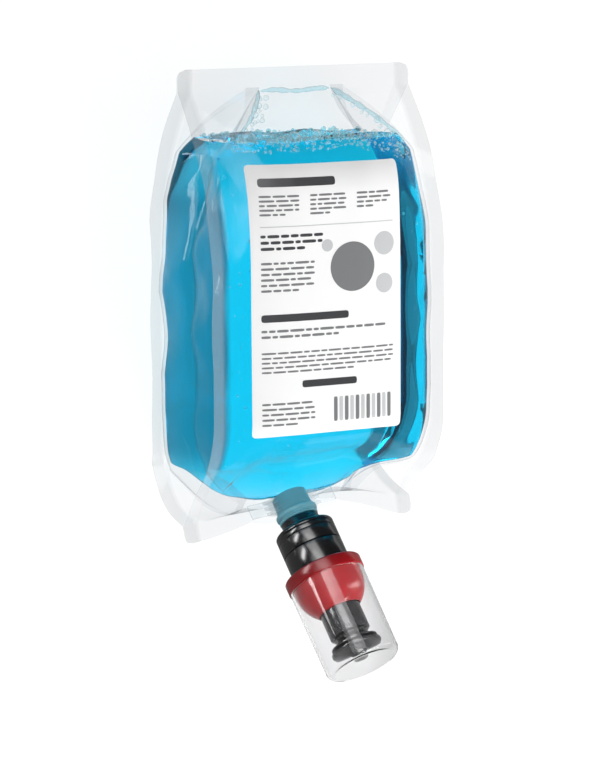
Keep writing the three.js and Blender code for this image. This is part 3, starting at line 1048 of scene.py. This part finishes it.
@dataclass
class Soap:
    """The soap in the pouch, its foam and the bubbles that hang in it."""

    form: PouchForm
    level: float = 68.5
    bottom: float = 2.5
    corner_lift: float = 13.0
    inset: float = 0.65
    across: int = 64
    side_steps: int = 28
    rows: int = 150
    lid_rows: int = 7
    # rows over which the painted gusset shade fades out at both ends
    shade_fade_rows: float = 28.0
    seed: int = 11
    bubble_tries: int = 260
    large_bubbles: int = 26
    level_bubbles: int = 90
    right_bubbles: int = 150
    film_froth: int = 900
    level_froth: int = 330
    beads: int = 90
    rim_sides: int = 7

    def ring(self, y: float) -> list[Triple]:
        """All points of one row, round the soap.

        Args:
            y: place along the pouch.
        Returns:
            The x, y and height of each point.
        """
        f = self.form
        edge, _ = f.gusset(y)
        end = edge - 0.3 - self.inset
        shares = [lerp(-1.0, 1.0, i / self.across) for i in range(self.across + 1)]
        ts = [(i + 0.8) / (self.side_steps + 0.6) for i in range(self.side_steps)]
        inset = 1.7 * self.inset + 0.2
        panels = ([f.inward(k * edge, y, side, self.inset) for k in shares] for side in Side)
        front, back = ([(clamp(x, -end, end), py, z) for x, py, z in p] for p in panels)
        flanks = ([f.flank(y, t, hand, inset) for t in ts] for hand in Hand)
        right, left = ([(x, y, z) for x, z in p] for p in flanks)
        return front + right + back[::-1] + left[::-1]

    def lowest(self, x: float) -> float:
        """The lower edge of the soap, which stays out of the pouch's bottom corners.

        Args:
            x: distance from the middle.
        Returns:
            The place along the pouch.
        """
        f = self.form
        left = 3.0 * smoothstep(-x, -6, 6) + 5.0 * smoothstep(-x, 6, 26)
        lift = self.corner_lift * (1.0 if x < f.spout_x else 0.65)
        return f.foot_line + self.bottom + left + lift * smoothstep(abs(x - f.spout_x), 18, 48)

    def build(self, soap: Material) -> None:
        """Models the soap.

        Args:
            soap: its material.
        """
        f = self.form
        table = []
        for j in range(self.rows + 1):
            y = lerp(f.foot_line + self.bottom, self.level, j / self.rows)
            near = 1.1 * smoothstep(y, self.level - 9.0, self.level)
            ring = [(x, py + near * grain(x, z, 3.0, 17.0), z) for x, py, z in self.ring(y)]
            table.append([(x, max(py, self.lowest(x)), z) for x, py, z in ring])
        for j in range(1, self.lid_rows + 1):
            share = 1.0 - (j / self.lid_rows) ** 1.4
            dip = -0.9 * min(1.0, 2.0 * j / self.lid_rows)
            table.append([(x, y + dip, z * share) for x, y, z in table[self.rows]])
        for j in range(1, self.lid_rows + 1):
            share = 1.0 - j / self.lid_rows
            table.insert(0, [(x, y, z * share) for x, y, z in table[j - 1]])
        count = len(table[0])
        piece = Piece("soap_fill")
        layer = piece.bm.verts.layers.float.new(GUSSET_SHADE_LAYER)
        verts = piece.woven([[f.laid(*p, self.inset) for p in ring] for ring in table])
        # Painted shade: the gussets' points get the dark soap tint, fading out towards the top and
        # the bottom.
        half = self.across + 1 + self.side_steps
        for i, vert in enumerate(verts):
            row = i // (count + 1) - self.lid_rows
            inner = smoothstep(min(row, self.rows - row), 0.0, self.shade_fade_rows)
            vert[layer] = inner if i % (count + 1) % count % half > self.across else 0.0
        bmesh.ops.remove_doubles(piece.bm, verts=verts, dist=0.02)
        bmesh.ops.holes_fill(piece.bm, edges=piece.bm.edges[:], sides=0)
        piece.face_out()
        piece.finish(Body.PACK, Slot.SOAP, [soap], ["liquid_soap"])

    def build_foam(self, bubble: Material) -> None:
        """Models the larger bubbles that stand on the soap and cling to the gussets' edges.

        Args:
            bubble: their material.
        """
        f = self.form
        rng = random.Random(self.seed)
        piece = Piece("foam_bubbles")
        taken: list[Triple] = []
        for i in range(self.bubble_tries):
            large = i < self.large_bubbles
            r = rng.uniform(1.6, 3.6) if large else 0.7 + 1.0 * rng.random() ** 2
            x = lerp(-42.0, 40.0, rng.random() ** 0.9)
            y = self.level + rng.uniform(-0.6, 1.2) + (0.3 * r if large else 0.0)
            if i >= self.level_bubbles:
                y += 17.0 * rng.random() ** 1.8
                out = f.gusset(y)[0] - r - 0.6 - 5.5 * rng.random() ** 2
                x = math.copysign(out, x if i < self.right_bubbles else -1.0)
            near = any(math.hypot(x - a, y - b) < 0.92 * (r + c) for a, b, c in taken)
            if near or abs(x) > f.gusset(y)[0] - r - 0.4:
                continue
            taken.append((x, y, r))
            self.dome(piece, f.laid(x, y, f.panel(x, y, Side.FRONT) - 0.4 - r, 0.0), r)
        piece.finish(Body.PACK, Slot.SOAP, [bubble])

    def build_froth(self, froth: Material) -> None:
        """Models the fine froth: behind the front film and on the soap's surface.

        Args:
            froth: its material.
        """
        f = self.form
        rng = random.Random(self.seed + 2)
        piece = Piece("foam_froth")
        for _ in range(self.film_froth):
            x = rng.uniform(-46.0, 46.0)
            deep = 2.0 + 2.2 * (1.0 + grain(x, 0.0, 5.0, 9.0)) + 7.0 * smoothstep(x, 16.0, 44.0)
            y = self.level + 1.4 - (deep + 1.4) * rng.random() ** 1.6
            r = 0.18 + 0.5 * rng.random() ** 3
            if abs(x) < f.gusset(y)[0] - r - 0.6:
                at = f.laid(x, y, f.panel(x, y, Side.FRONT) - 0.45, 0.0)
                self.ball(piece, at, r, 0.4, 1 if r < 0.5 else 2)
        for _ in range(self.level_froth):
            x = rng.uniform(-43.0, 43.0)
            r = 0.35 + 0.9 * rng.random() ** 2
            y = self.level - 0.2 + 0.5 * r
            front, back = (f.panel(x, y, side) - side * (r + 1.0) for side in Side)
            z = lerp(front, back, rng.random() ** 1.3)
            if abs(x) < f.gusset(y)[0] - r - 1.0:
                self.ball(piece, f.laid(x, y, z, r + 0.7), r)
        piece.finish(Body.PACK, Slot.SOAP, [froth])

    def build_beads(self, bubble: Material) -> None:
        """Models the tiny bubbles that hang in the soap.

        Args:
            bubble: their material.
        """
        f = self.form
        rng = random.Random(self.seed + 1)
        piece = Piece("soap_beads")
        for i in range(self.beads):
            x = rng.uniform(-46.0, 44.0) if i % 3 else rng.uniform(-46.0, -38.0)
            y = lerp(-84.0, 66.0, rng.random())
            r = 0.25 + 0.4 * rng.random() ** 2
            z = f.panel(x, y, Side.FRONT) - rng.uniform(1.8, 3.2)
            self.ball(piece, f.laid(x, y, z, 2.0), r)
        piece.finish(Body.PACK, Slot.SOAP, [bubble])

    def build_rims(self, wet: Material) -> None:
        """Models the soap that clings to the gussets' edges and to the top seal.

        Args:
            wet: its material.
        """
        piece = Piece("wet_edges")
        self.rim(piece, lambda v: self.edge_point(v, Hand.RIGHT), 40)
        self.rim(piece, lambda v: self.edge_point(v, Hand.LEFT), 40)
        self.rim(piece, self.seal_point, 24)
        piece.finish(Body.PACK, Slot.SOAP, [wet])

    def edge_point(self, v: float, hand: Hand) -> Vector:
        """A place along a gusset's front edge.

        Args:
            v: from 0 at the soap's top to 1 at the seal.
            hand: which gusset.
        Returns:
            The point of the straight pouch.
        """
        f = self.form
        y = lerp(self.level - 3.0, f.top_line - 0.8, v)
        x = f.gusset(y)[0] - 0.7
        return Vector((hand * x, y, f.panel(x, y, Side.FRONT) - 1.2))

    def seal_point(self, v: float) -> Vector:
        """A place along the top seal, between both gussets."""
        y = self.form.top_line - 1.2 + 0.4 * math.sin(9 * v)
        return Vector((lerp(-16.5, 16.5, v), y, 0.3))

    def rim(self, piece: Piece, path: Path, steps: int) -> None:
        """Adds one uneven half-round bead of soap along a path."""
        verts = piece.grid(self.rim_sides, steps, lambda u, v: self.rim_point(path, u, v))
        bmesh.ops.remove_doubles(piece.bm, verts=verts, dist=0.003)

    def rim_point(self, path: Path, u: float, v: float) -> Vector:
        """A point of a bead of soap.

        Args:
            path: its middle line for a share from 0 to 1.
            u: share of the way across its front.
            v: share of the way along it.
        Returns:
            The point in the part's frame.
        """
        at = path(v)
        ahead = path(min(v + 0.02, 1.0)) - path(max(v - 0.02, 0.0))
        first = ahead.cross(Vector((0.0, 0.0, 1.0))).normalized()
        second = first.cross(ahead).normalized()
        thick = 1.0 + 0.7 * grain(*at, 4.0)
        thick *= 0.15 + 0.85 * smoothstep(min(v, 1.0 - v), 0.0, 0.06)
        turn = math.pi * u
        p = at + thick * (math.cos(turn) * first + math.sin(turn) * second)
        return self.form.laid(*p, 0.3)

    @staticmethod
    def dome(piece: Piece, centre: Vector, radius: float) -> None:
        """Adds the front half of a bubble.

        Args:
            piece: the piece that takes it.
            centre: its middle.
            radius: its radius.
        """
        ball = {"subdivisions": 3 if radius > 1.4 else 2, "radius": radius}
        made = bmesh.ops.create_icosphere(piece.bm, matrix=Matrix.Translation(centre), **ball)
        faces = {face for v in made["verts"] for face in v.link_faces}
        edges = {e for v in made["verts"] for e in v.link_edges}
        cut = {"plane_co": centre, "plane_no": (0.0, 0.0, 1.0), "clear_inner": True}
        bmesh.ops.bisect_plane(piece.bm, geom=[*made["verts"], *edges, *faces], **cut)

    @staticmethod
    def ball(
        piece: Piece, centre: Vector, radius: float, flat: float = 1.0, finer: int = 2
    ) -> None:
        """Adds one bubble; flat is its height for each unit of width, finer its subdivisions."""
        form = Matrix.Translation(centre) @ Matrix.Diagonal((1.0, 1.0, flat, 1.0))
        bmesh.ops.create_icosphere(piece.bm, subdivisions=finer, radius=radius, matrix=form)


# ---------------------------------------------------------------------------
# The label


@dataclass(frozen=True)
class Mark:
    """One printed shape: its ink, corner radius, and left, top, width and height on the label."""

    ink: Ink
    box: Box
    radius: float


@dataclass(frozen=True)
class Lines:
    """A block of broken lines, in mm from the label's top left corner."""

    ink: Ink
    left: float
    top: float
    wide: float
    count: int
    pitch: float
    high: float

    def marks(self, rng: random.Random) -> list[Mark]:
        """Breaks the lines into dashes of random length.

        Args:
            rng: the source of the lengths.
        Returns:
            The dashes.
        """
        made = []
        for i in range(self.count):
            at = self.left
            end = at + self.wide * (1.0 if i < self.count - 1 else rng.uniform(0.45, 0.8))
            while at < end - 1.5:
                run = min(rng.uniform(2.2, 6.5), end - at)
                box = (at, self.top + i * self.pitch, run, self.high)
                made.append(Mark(self.ink, box, self.high * 0.35))
                at += run + 0.7
        return made


@dataclass
class Label:
    """Rounded label on the front panel with a generic print of bars, dashes and discs."""

    form: PouchForm
    width: float = 70.0
    length: float = 115.0
    radius: float = 2.0
    thick: float = 0.16
    top: float = 59.5
    middle: float = -3.6
    clear: float = 0.25
    ink_gap: float = 0.06
    step: float = 1.2
    disc_step: float = 0.5
    seed: int = 5
    bars: Sequence[Mark] = (
        Mark(Ink.DARK, (4.0, 5.5, 34.0, 3.6), 1.0),
        Mark(Ink.PALE, (4.0, 25.5, 62.0, 0.35), 0.0),
        Mark(Ink.DARK, (4.0, 62.5, 40.0, 3.2), 0.9),
        Mark(Ink.DARK, (22.0, 91.0, 26.0, 3.0), 0.9),
    )
    discs: Sequence[tuple[Ink, float, float, float]] = (
        (Ink.GREY, 46, 44, 10.5),
        (Ink.PALE, 61.5, 35, 5.0),
        (Ink.PALE, 61.5, 52, 4.2),
        (Ink.PALE, 34, 34.5, 2.6),
    )
    stripes: int = 11
    stripe: Box = (37.0, 99.0, 1.7, 10.5)
    stripe_pitch: float = 2.6
    blocks: Sequence[Lines] = (
        Lines(Ink.GREY, 4.0, 12.6, 17.0, 5, 1.9, 0.9),
        Lines(Ink.GREY, 26.0, 12.6, 17.0, 5, 1.9, 0.9),
        Lines(Ink.GREY, 48.0, 12.6, 17.0, 4, 1.9, 0.9),
        Lines(Ink.DARK, 4.0, 29.0, 28.0, 3, 2.6, 1.3),
        Lines(Ink.GREY, 4.0, 40.5, 24.0, 6, 2.3, 1.0),
        Lines(Ink.GREY, 4.0, 69.0, 58.0, 2, 2.4, 1.1),
        Lines(Ink.GREY, 4.0, 78.5, 62.0, 5, 2.0, 0.8),
        Lines(Ink.GREY, 4.0, 100.0, 24.0, 5, 2.2, 0.9),
    )

    def surface(self, across: float, down: float, over: float) -> Vector:
        """A point over the film.

        Args:
            across: distance from the label's left edge.
            down: distance from its top edge.
            over: height over the label's underside.
        Returns:
            The point in the part's frame.
        """
        f = self.form
        x = self.middle - self.width / 2 + across
        y = self.top - down
        return f.laid(x, y, f.panel(x, y, Side.FRONT) + self.clear + over, 0.0)

    @staticmethod
    def rounded(mark: Mark, u: float, v: float) -> Pair:
        """A place on a mark whose corners are rounded.

        Args:
            mark: the mark.
            u: share of its width.
            v: share of its height, from below.
        Returns:
            Its distances across and down the label.
        """
        left, top, wide, high = mark.box
        radius = min(mark.radius, wide / 2, high / 2)
        a = abs(u - 0.5) * wide - (wide / 2 - radius)
        b = abs(v - 0.5) * high - (high / 2 - radius)
        x, y = (u - 0.5) * wide, (v - 0.5) * high
        if radius > 0 and a > 0 and b > 0:
            pull = max(a, b) / math.hypot(a, b)
            x = math.copysign(wide / 2 - radius + a * pull, u - 0.5)
            y = math.copysign(high / 2 - radius + b * pull, v - 0.5)
        return left + wide / 2 + x, top + high / 2 - y

    def patch(self, piece: Piece, mark: Mark, over: float, step: float) -> None:
        """Adds a mark that follows the film.

        Args:
            piece: the piece that takes it.
            mark: its outline.
            over: its height over the label's underside.
            step: the size of its faces.
        """
        columns, rows = (max(2, round(size / step)) for size in mark.box[2:])
        piece.grid(columns, rows, lambda u, v: self.surface(*self.rounded(mark, u, v), over))

    def build(self, paper: Material) -> None:
        """Models the label.

        Args:
            paper: its material.
        """
        piece = Piece("label_sheet")
        sheet = Mark(Ink.PALE, (0.0, 0.0, self.width, self.length), self.radius)
        self.patch(piece, sheet, 0.0, self.step)
        piece.face_out()
        if sum(f.normal.z for f in piece.bm.faces) < 0:
            bmesh.ops.reverse_faces(piece.bm, faces=piece.bm.faces[:])
        bmesh.ops.solidify(piece.bm, geom=piece.bm.faces[:], thickness=-self.thick)
        piece.face_out()
        piece.finish(Body.PACK, Slot.LABEL, [paper], ["front_label"])

    def marks(self) -> list[Mark]:
        """All of the print.

        Returns:
            Its marks.
        """
        rng = random.Random(self.seed)
        marks = list(self.bars)
        marks += [Mark(ink, (x - r, y - r, 2 * r, 2 * r), r) for ink, x, y, r in self.discs]
        left, top, wide, high = self.stripe
        for i in range(self.stripes):
            box = (left + self.stripe_pitch * i, top, wide, high)
            marks.append(Mark(Ink.PALE if i % 2 else Ink.GREY, box, 0.4))
        for block in self.blocks:
            marks += block.marks(rng)
        return marks

    def build_print(self, inks: Sequence[Material]) -> None:
        """Models the print.

        Args:
            inks: the materials in the order of Ink.
        """
        piece = Piece("label_print")
        for mark in self.marks():
            old = set(piece.bm.faces)
            step = self.disc_step if mark.radius > 1.5 else self.step
            self.patch(piece, mark, self.thick + self.ink_gap, step)
            for face in piece.bm.faces:
                if face not in old:
                    face.material_index = mark.ink.value
        piece.face_out()
        for face in piece.bm.faces:
            if face.normal.z < 0:
                face.normal_flip()
        piece.finish(Body.PACK, Slot.LABEL, inks)


# ---------------------------------------------------------------------------
# The pump


def arc(r: float, t: float, radius: float, start: float, end: float, steps: int) -> list[Pair]:
    """Points of an arc in a turned outline.

    Args:
        r: radius of its centre.
        t: place of its centre along the axis.
        radius: its own radius.
        start: first angle in degrees, 0 outwards and 90 along the axis.
        end: last angle.
        steps: number of pieces.
    Returns:
        The points.
    """
    angles = [math.radians(lerp(start, end, i / steps)) for i in range(steps + 1)]
    return [(r + radius * math.cos(a), t + radius * math.sin(a)) for a in angles]


@dataclass
class Pump:
    """Spout, collar, body, ring, bell, stem, nozzle and clear overcap along one axis, in mm."""

    form: PouchForm
    steps: int = 96
    neck_l: float = 8.7
    collar_r: float = 13.2
    collar_end: float = 23.4
    body_end: float = 33.6
    ring_r: float = 17.4
    ring_end: float = 39.3
    bell_r: float = 15.5
    bell_wall: float = 1.3
    stem_r: float = 9.0
    stem_low: float = 35.5
    stem_end: float = 65.82
    tip_r: float = 3.4
    tip_l: float = 10.8
    cap_r: float = 16.9
    cap_wall: float = 1.0
    cap_edge: float = 3.0
    cap_end: float = 1.1
    cap_room: float = 4.0
    gap: float = 0.3
    boat_sides: int = 72
    boat_plates: Sequence[Triple] = (
        (-3.2, 3.2, 0.5),
        (-3.2, -2.2, 0.62),
        (-0.5, 0.5, 0.62),
        (2.2, 3.2, 0.62),
    )
    wing: Triple = (9.5, 1.0, 6.4)
    wing_x: float = 16.2

    def turned(
        self, name: str, body: Body, slot: Slot, look: Material, bevel: float, profile: Profile
    ) -> None:
        """Models one turned piece that stands for a CAD node.

        Args:
            name: the CAD node that it replaces.
            body: the body that it rides on.
            slot: the record's slot.
            look: its material.
            bevel: rounding of its edges.
            profile: its outline.
        """
        piece = Piece(name + "_look")
        piece.turned(profile, self.steps, bevel)
        piece.bm.transform(self.form.seat())
        piece.finish(body, slot, [look], [name])

    def build_spout(self, look: Material, clear: Material) -> None:
        """Models the beaded neck and the clear weld base inside the foot seal.

        Args:
            look: the neck's material.
            clear: the base's material.
        """
        n = self.form.neck_r
        neck = [(4.8, -3.7), (n - 0.6, -3.7), (n - 0.2, 4.2), (n + 1.0, 4.6), (n + 1.0, 6.3)]
        neck += [(n - 0.3, 6.7), (n - 0.3, 7.4), (n + 0.5, 7.7), (n + 0.5, 8.4)]
        neck += [(7.0, 8.4), (7.0, 16.6), (4.8, 16.6)]
        self.turned("spout", Body.PACK, Slot.NATURAL, look, 0.25, neck)
        base = Piece("spout_base")
        for low, high, size in self.boat_plates:
            self.boat_plate(base, low, high, size)
        for sign in (1, -1):
            place = Matrix.Translation((sign * self.wing_x, 0.0, 0.0))
            form = place @ Matrix.Diagonal((*self.wing, 1.0))
            bmesh.ops.create_cube(base.bm, size=1.0, matrix=form)
        base.face_out()
        base.bm.transform(self.form.seat() @ Matrix.Rotation(self.boat_turn(), 4, "Z"))
        base.finish(Body.PACK, Slot.NATURAL, [clear])

    def boat_plate(self, base: Piece, low: float, high: float, size: float) -> None:
        """Adds one plate of the weld base.

        Args:
            base: the piece that takes it.
            low: where it starts along the pump's axis.
            high: where it ends.
            size: its share of the base's full outline.
        """
        f = self.form
        made = bmesh.ops.create_circle(
            base.bm, cap_ends=True, segments=self.boat_sides, radius=1.0
        )
        for vert in made["verts"]:
            x = f.boat_half * vert.co.x
            y = math.copysign(f.boat(x) * 0.9 + 0.3, vert.co.y)
            vert.co = Vector((x * size, y * size, low))
        faces = list({face for vert in made["verts"] for face in vert.link_faces})
        pushed = bmesh.ops.extrude_face_region(base.bm, geom=faces)
        top = [v for v in pushed["geom"] if isinstance(v, bmesh.types.BMVert)]
        bmesh.ops.translate(base.bm, verts=top, vec=(0.0, 0.0, high - low))

    def boat_turn(self) -> float:
        """Angle that brings the weld base's length level with the foot seal.

        Returns:
            The angle about the pump's axis.
        """
        f = self.form
        want = Matrix.Rotation(f.bend_angle, 3, f.bend_axis) @ Vector((1.0, 0.0, 0.0))
        local = f.seat().to_3x3().inverted() @ want
        return math.atan2(local.y, local.x)

    def build_fixed(self, black: Material, red: Material) -> None:
        """Models the collar, the pump's body and the red ring with its bell.

        Args:
            black: the material of the collar and the body.
            red: the material of the ring and the bell.
        """
        n, r, end = self.neck_l, self.collar_r, self.collar_end
        collar = [(7.3, n), (8.5, n), (8.6, n + 4.0), *arc(r - 1.6, n + 5.9, 1.6, -80, 0, 5)]
        collar += [(r, n + 6.3), (r - 0.4, n + 6.5), (r, n + 6.8)]
        collar += [(r, n + 8.6), (r - 0.3, n + 8.75), (r, n + 8.9)]
        collar += [(r, end), (r - 1.4, end), (r - 1.4, n + 6.5), (7.3, n + 6.5)]
        self.turned("snap_collar", Body.PACK, Slot.BLACK, black, 0.12, collar)
        start, low = end + self.gap, self.body_end
        body = [(1.5, 18.3), (r - 1.7, 18.3), (r - 1.7, start), (r, start), (r, low)]
        body += [(11.4, low), (11.4, 41.5), (10.2, 41.5), (10.2, 20.3), (1.5, 20.3)]
        self.turned("pump_body", Body.PACK, Slot.BLACK, black, 0.2, body)
        top = low + self.gap
        centre = self.ring_end + 2.2
        hole = self.stem_r + 0.4
        wall = self.bell_r - self.bell_wall
        outer, inner = (math.degrees(math.acos(hole / size)) for size in (self.bell_r, wall))
        bell = [(11.7, top), (self.ring_r - 0.6, top), (self.ring_r, top + 0.6)]
        bell += [(self.ring_r, self.ring_end), (self.bell_r, self.ring_end)]
        bell += arc(0, centre, self.bell_r, 0, outer, 14) + arc(0, centre, wall, inner, 0, 12)
        bell += [(wall, top + 1.5), (11.7, top + 1.5)]
        self.turned("bell_guide", Body.PACK, Slot.RED, red, 0.2, bell)

    def build_plunger(self, black: Material) -> None:
        """Models the stem and the nozzle that slide together.

        Args:
            black: their material.
        """
        r, e, low = self.stem_r, self.stem_end, self.stem_low
        stem = [(2.2, low), (r, low), (r, low + 1.0), (r - 0.8, low + 1.0), (r - 0.8, low + 4.2)]
        stem += [(r, low + 4.2), (r, e - 0.6), (r - 0.8, e), (r - 1.4, e)]
        stem += [(r - 1.4, low + 6.4), (2.2, low + 5.2)]
        self.turned("piston_stem", Body.PLUNGER, Slot.BLACK, black, 0.12, stem)
        waist, tip, end = r - 2.6, self.tip_r, e + self.tip_l
        nozzle = [(3.6, e - 5.4), (r - 1.7, e - 5.4), (r - 1.7, e + 0.3), (r - 0.9, e + 0.3)]
        nozzle += [(waist, e + 2.1), (waist, e + 3.7), (10.5, e + 3.7), (10.5, e + 4.5)]
        nozzle += [(waist, e + 4.7), (waist, e + 5.6), (11.3, e + 5.8), (11.3, e + 6.9)]
        nozzle += [(9.3, e + 7.5), (tip + 0.6, e + 9.0), (tip, e + 9.6)]
        nozzle += [(tip - 0.3, end), (1.9, end), (1.9, e), (3.6, e)]
        self.turned("nozzle", Body.PLUNGER, Slot.BLACK, black, 0.12, nozzle)

    def build_cap(self, clear: Material) -> None:
        """Models the clear overcap.

        Args:
            clear: its material.
        """
        end = self.stem_end + self.tip_l + self.cap_room
        rim = self.ring_end + self.gap
        edge, r = self.cap_edge, self.cap_r - 0.3 - self.cap_edge
        outline = [(self.cap_r - self.cap_wall, rim), (self.cap_r, rim)]
        outline += arc(r, end - edge, edge, 0, 90, 10) + [(0.0, end), (0.0, end - self.cap_end)]
        outline += arc(r, end - edge, edge - self.cap_end, 90, 0, 8)
        self.turned("overcap", Body.CAP, Slot.CLEAR, clear, 0.0, outline)


# ---------------------------------------------------------------------------
# The stage


class Reach(Enum):
    """What a lamp shows in: everything, mirror images alone or soft light alone."""

    ALL = 0
    MIRROR = 1
    SOFT = 2


@dataclass(frozen=True)
class Lamp:
    """A soft box: where it is, where it points, its size in metres and its power in watts."""

    name: str
    place: Triple
    aim: Triple
    size: Pair
    power: float
    reach: Reach

    def build(self) -> None:
        """Adds the lamp to the scene."""
        data = bpy.data.lights.new(self.name, "AREA")
        data.shape = "RECTANGLE"
        data.size, data.size_y = self.size
        data.energy = self.power
        obj = bpy.data.objects.new(self.name, data)
        obj.location = self.place
        away = Vector(self.place) - Vector(self.aim)
        obj.rotation_euler = away.to_track_quat("Z", "Y").to_euler()
        obj.visible_camera = False
        obj.visible_diffuse = self.reach is not Reach.MIRROR
        obj.visible_glossy = self.reach is not Reach.SOFT
        bpy.context.scene.collection.objects.link(obj)


@dataclass
class Stage:
    """Table, lamps, surroundings and camera, in metres."""

    eye: Triple = (-0.65979892, 0.18584683, 1.33084207)
    aim: Triple = (-0.00820838, -0.03526266, 0.06021907)
    up: Triple = (0.07456457, 0.98820907, -0.13372719)
    sensor: float = 36.0
    lens: float = 199.3446
    table: float = 6.0
    table_gap: float = 0.00015
    ambient: float = 0.09
    seen_through: float = 0.7
    pack: Triple = (0.0, 0.0, 0.04)
    bell: Triple = (0.008, -0.14, 0.07)
    lamps: Sequence[Lamp] = (
        Lamp("strip_box", (-0.21, 0.29, 0.335), bell, (0.3, 0.9), 2.9, Reach.MIRROR),
        Lamp("key_box", (-0.6, 0.5, 0.9), pack, (0.7, 0.7), 2.6, Reach.ALL),
        Lamp("over_box", (-0.3, -0.2, 1.3), pack, (0.9, 0.9), 7.5, Reach.SOFT),
        Lamp("side_box", (0.7, -0.1, 0.45), pack, (0.15, 0.8), 3.0, Reach.SOFT),
        Lamp("low_box", (0.45, -0.9, 0.75), (0.0, -0.05, 0.04), (0.6, 0.5), 14.0, Reach.SOFT),
        Lamp("left_box", (-0.8, 0.26, 0.12), (0.0, 0.05, 0.03), (0.4, 0.16), 2.6, Reach.MIRROR),
    )

    def build(self) -> None:
        """Adds all of the stage to the scene."""
        scene = bpy.context.scene
        scene.view_settings.view_transform = "Standard"
        bm = bmesh.new()
        bmesh.ops.create_grid(bm, x_segments=1, y_segments=1, size=self.table / 2)
        bmesh.ops.translate(bm, verts=bm.verts[:], vec=(0.0, 0.0, -self.table_gap))
        mesh = bpy.data.meshes.new("table_top")
        bm.to_mesh(mesh)
        bm.free()
        mesh.materials.append(FloorFinish().material())
        floor = bpy.data.objects.new("table_top", mesh)
        scene.collection.objects.link(floor)
        for lamp in self.lamps:
            lamp.build()
        scene.world = self.surroundings()
        self.build_camera()

    def surroundings(self) -> bpy.types.World:
        """A dim room that looks white to the camera and light through the soap and the cap.

        Returns:
            The world.
        """
        g = Graph("surroundings", world=True)
        seen = g.ray("Is Camera Ray") | g.ray("Is Transmission Ray") * self.seen_through
        white = {"Color": (1.0, 1.0, 1.0, 1.0), "Strength": seen | self.ambient}
        return g.surface(g.add("ShaderNodeBackground", None, white))

    def build_camera(self) -> None:
        """Adds the camera."""
        data = bpy.data.cameras.new("photo_camera")
        data.sensor_fit = "HORIZONTAL"
        data.sensor_width = self.sensor
        data.lens = self.lens
        data.clip_start = 0.01
        camera = bpy.data.objects.new("photo_camera", data)
        back = (Vector(self.eye) - Vector(self.aim)).normalized()
        right = Vector(self.up).cross(back).normalized()
        rows = Matrix((right, back.cross(right), back)).transposed().to_4x4()
        camera.matrix_world = Matrix.Translation(self.eye) @ rows
        bpy.context.scene.collection.objects.link(camera)
        bpy.context.scene.camera = camera


def build_contents(form: PouchForm) -> None:
    """Builds the film, the soap with its bubbles, and the label.

    Args:
        form: the pouch's shape.
    """
    # The bubble finishes paint a pale sheen and darker rims by view angle.
    bubble = BubbleFinish("bubble_look", (0.9, 0.975, 0.985))
    froth = BubbleFinish("froth_look", (0.8, 0.965, 0.985), (0.5, 0.84, 0.9), 0.45, 0.2)
    wet = BubbleFinish("wet_look", (0.66, 0.87, 0.92), (0.03, 0.26, 0.34), 0.65).material()
    FilmPouch(form).build(FilmFinish().material())
    soap = Soap(form)
    soap.build(SoapFinish().material())
    soap.build_foam(bubble.material())
    soap.build_froth(froth.material())
    soap.build_beads(wet)
    soap.build_rims(wet)
    inks = {
        Ink.DARK: InkFinish("ink_dark", (0.035, 0.036, 0.04)),
        Ink.GREY: InkFinish("ink_grey", (0.17, 0.175, 0.18)),
        Ink.PALE: InkFinish("ink_pale", (0.5, 0.51, 0.52)),
    }
    label = Label(form)
    label.build(PaperFinish().material())
    label.build_print([inks[ink].material() for ink in Ink])


def build_pump(form: PouchForm) -> None:
    """Builds the spout, the pump and its cap.

    Args:
        form: the pouch's shape, which holds the pump's axis.
    """
    black = PlasticFinish("black_look", (0.003, 0.003, 0.004), 0.16, 0.0, 0.9).material()
    red = PlasticFinish("red_look", (0.27, 0.004, 0.007), 0.2).material()
    natural = PlasticFinish("natural_look", (0.26, 0.62, 0.71), 0.28, 0.45).material()
    # The weld base's finish paints darker edges by view angle.
    base = BubbleFinish("base_look", (0.97, 0.985, 0.99), (0.4, 0.52, 0.56), 0.3, 0.03)
    pump = Pump(form)
    pump.build_spout(natural, base.material())
    pump.build_fixed(black, red)
    pump.build_plunger(black)
    pump.build_cap(ClearFinish().material())


def main() -> None:
    """Builds the pack and its stage, piece by piece."""
    logging.basicConfig(level=logging.INFO, format="%(name)s: %(message)s")
    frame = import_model()
    form = PouchForm()
    build_contents(form)
    build_pump(form)
    silicone = PlasticFinish("silicone_look", (0.62, 0.62, 0.6), 0.5, 0.2).material()
    for name in ("spout_gasket", "inlet_valve", "piston_seal", "outlet_valve"):
        frame["nodes"][name].data.materials.clear()
        frame["nodes"][name].data.materials.append(silicone)
        LOG.info("%s: keeps its CAD shape", name)
    Stage().build()


if __name__ == "__main__":
    main()
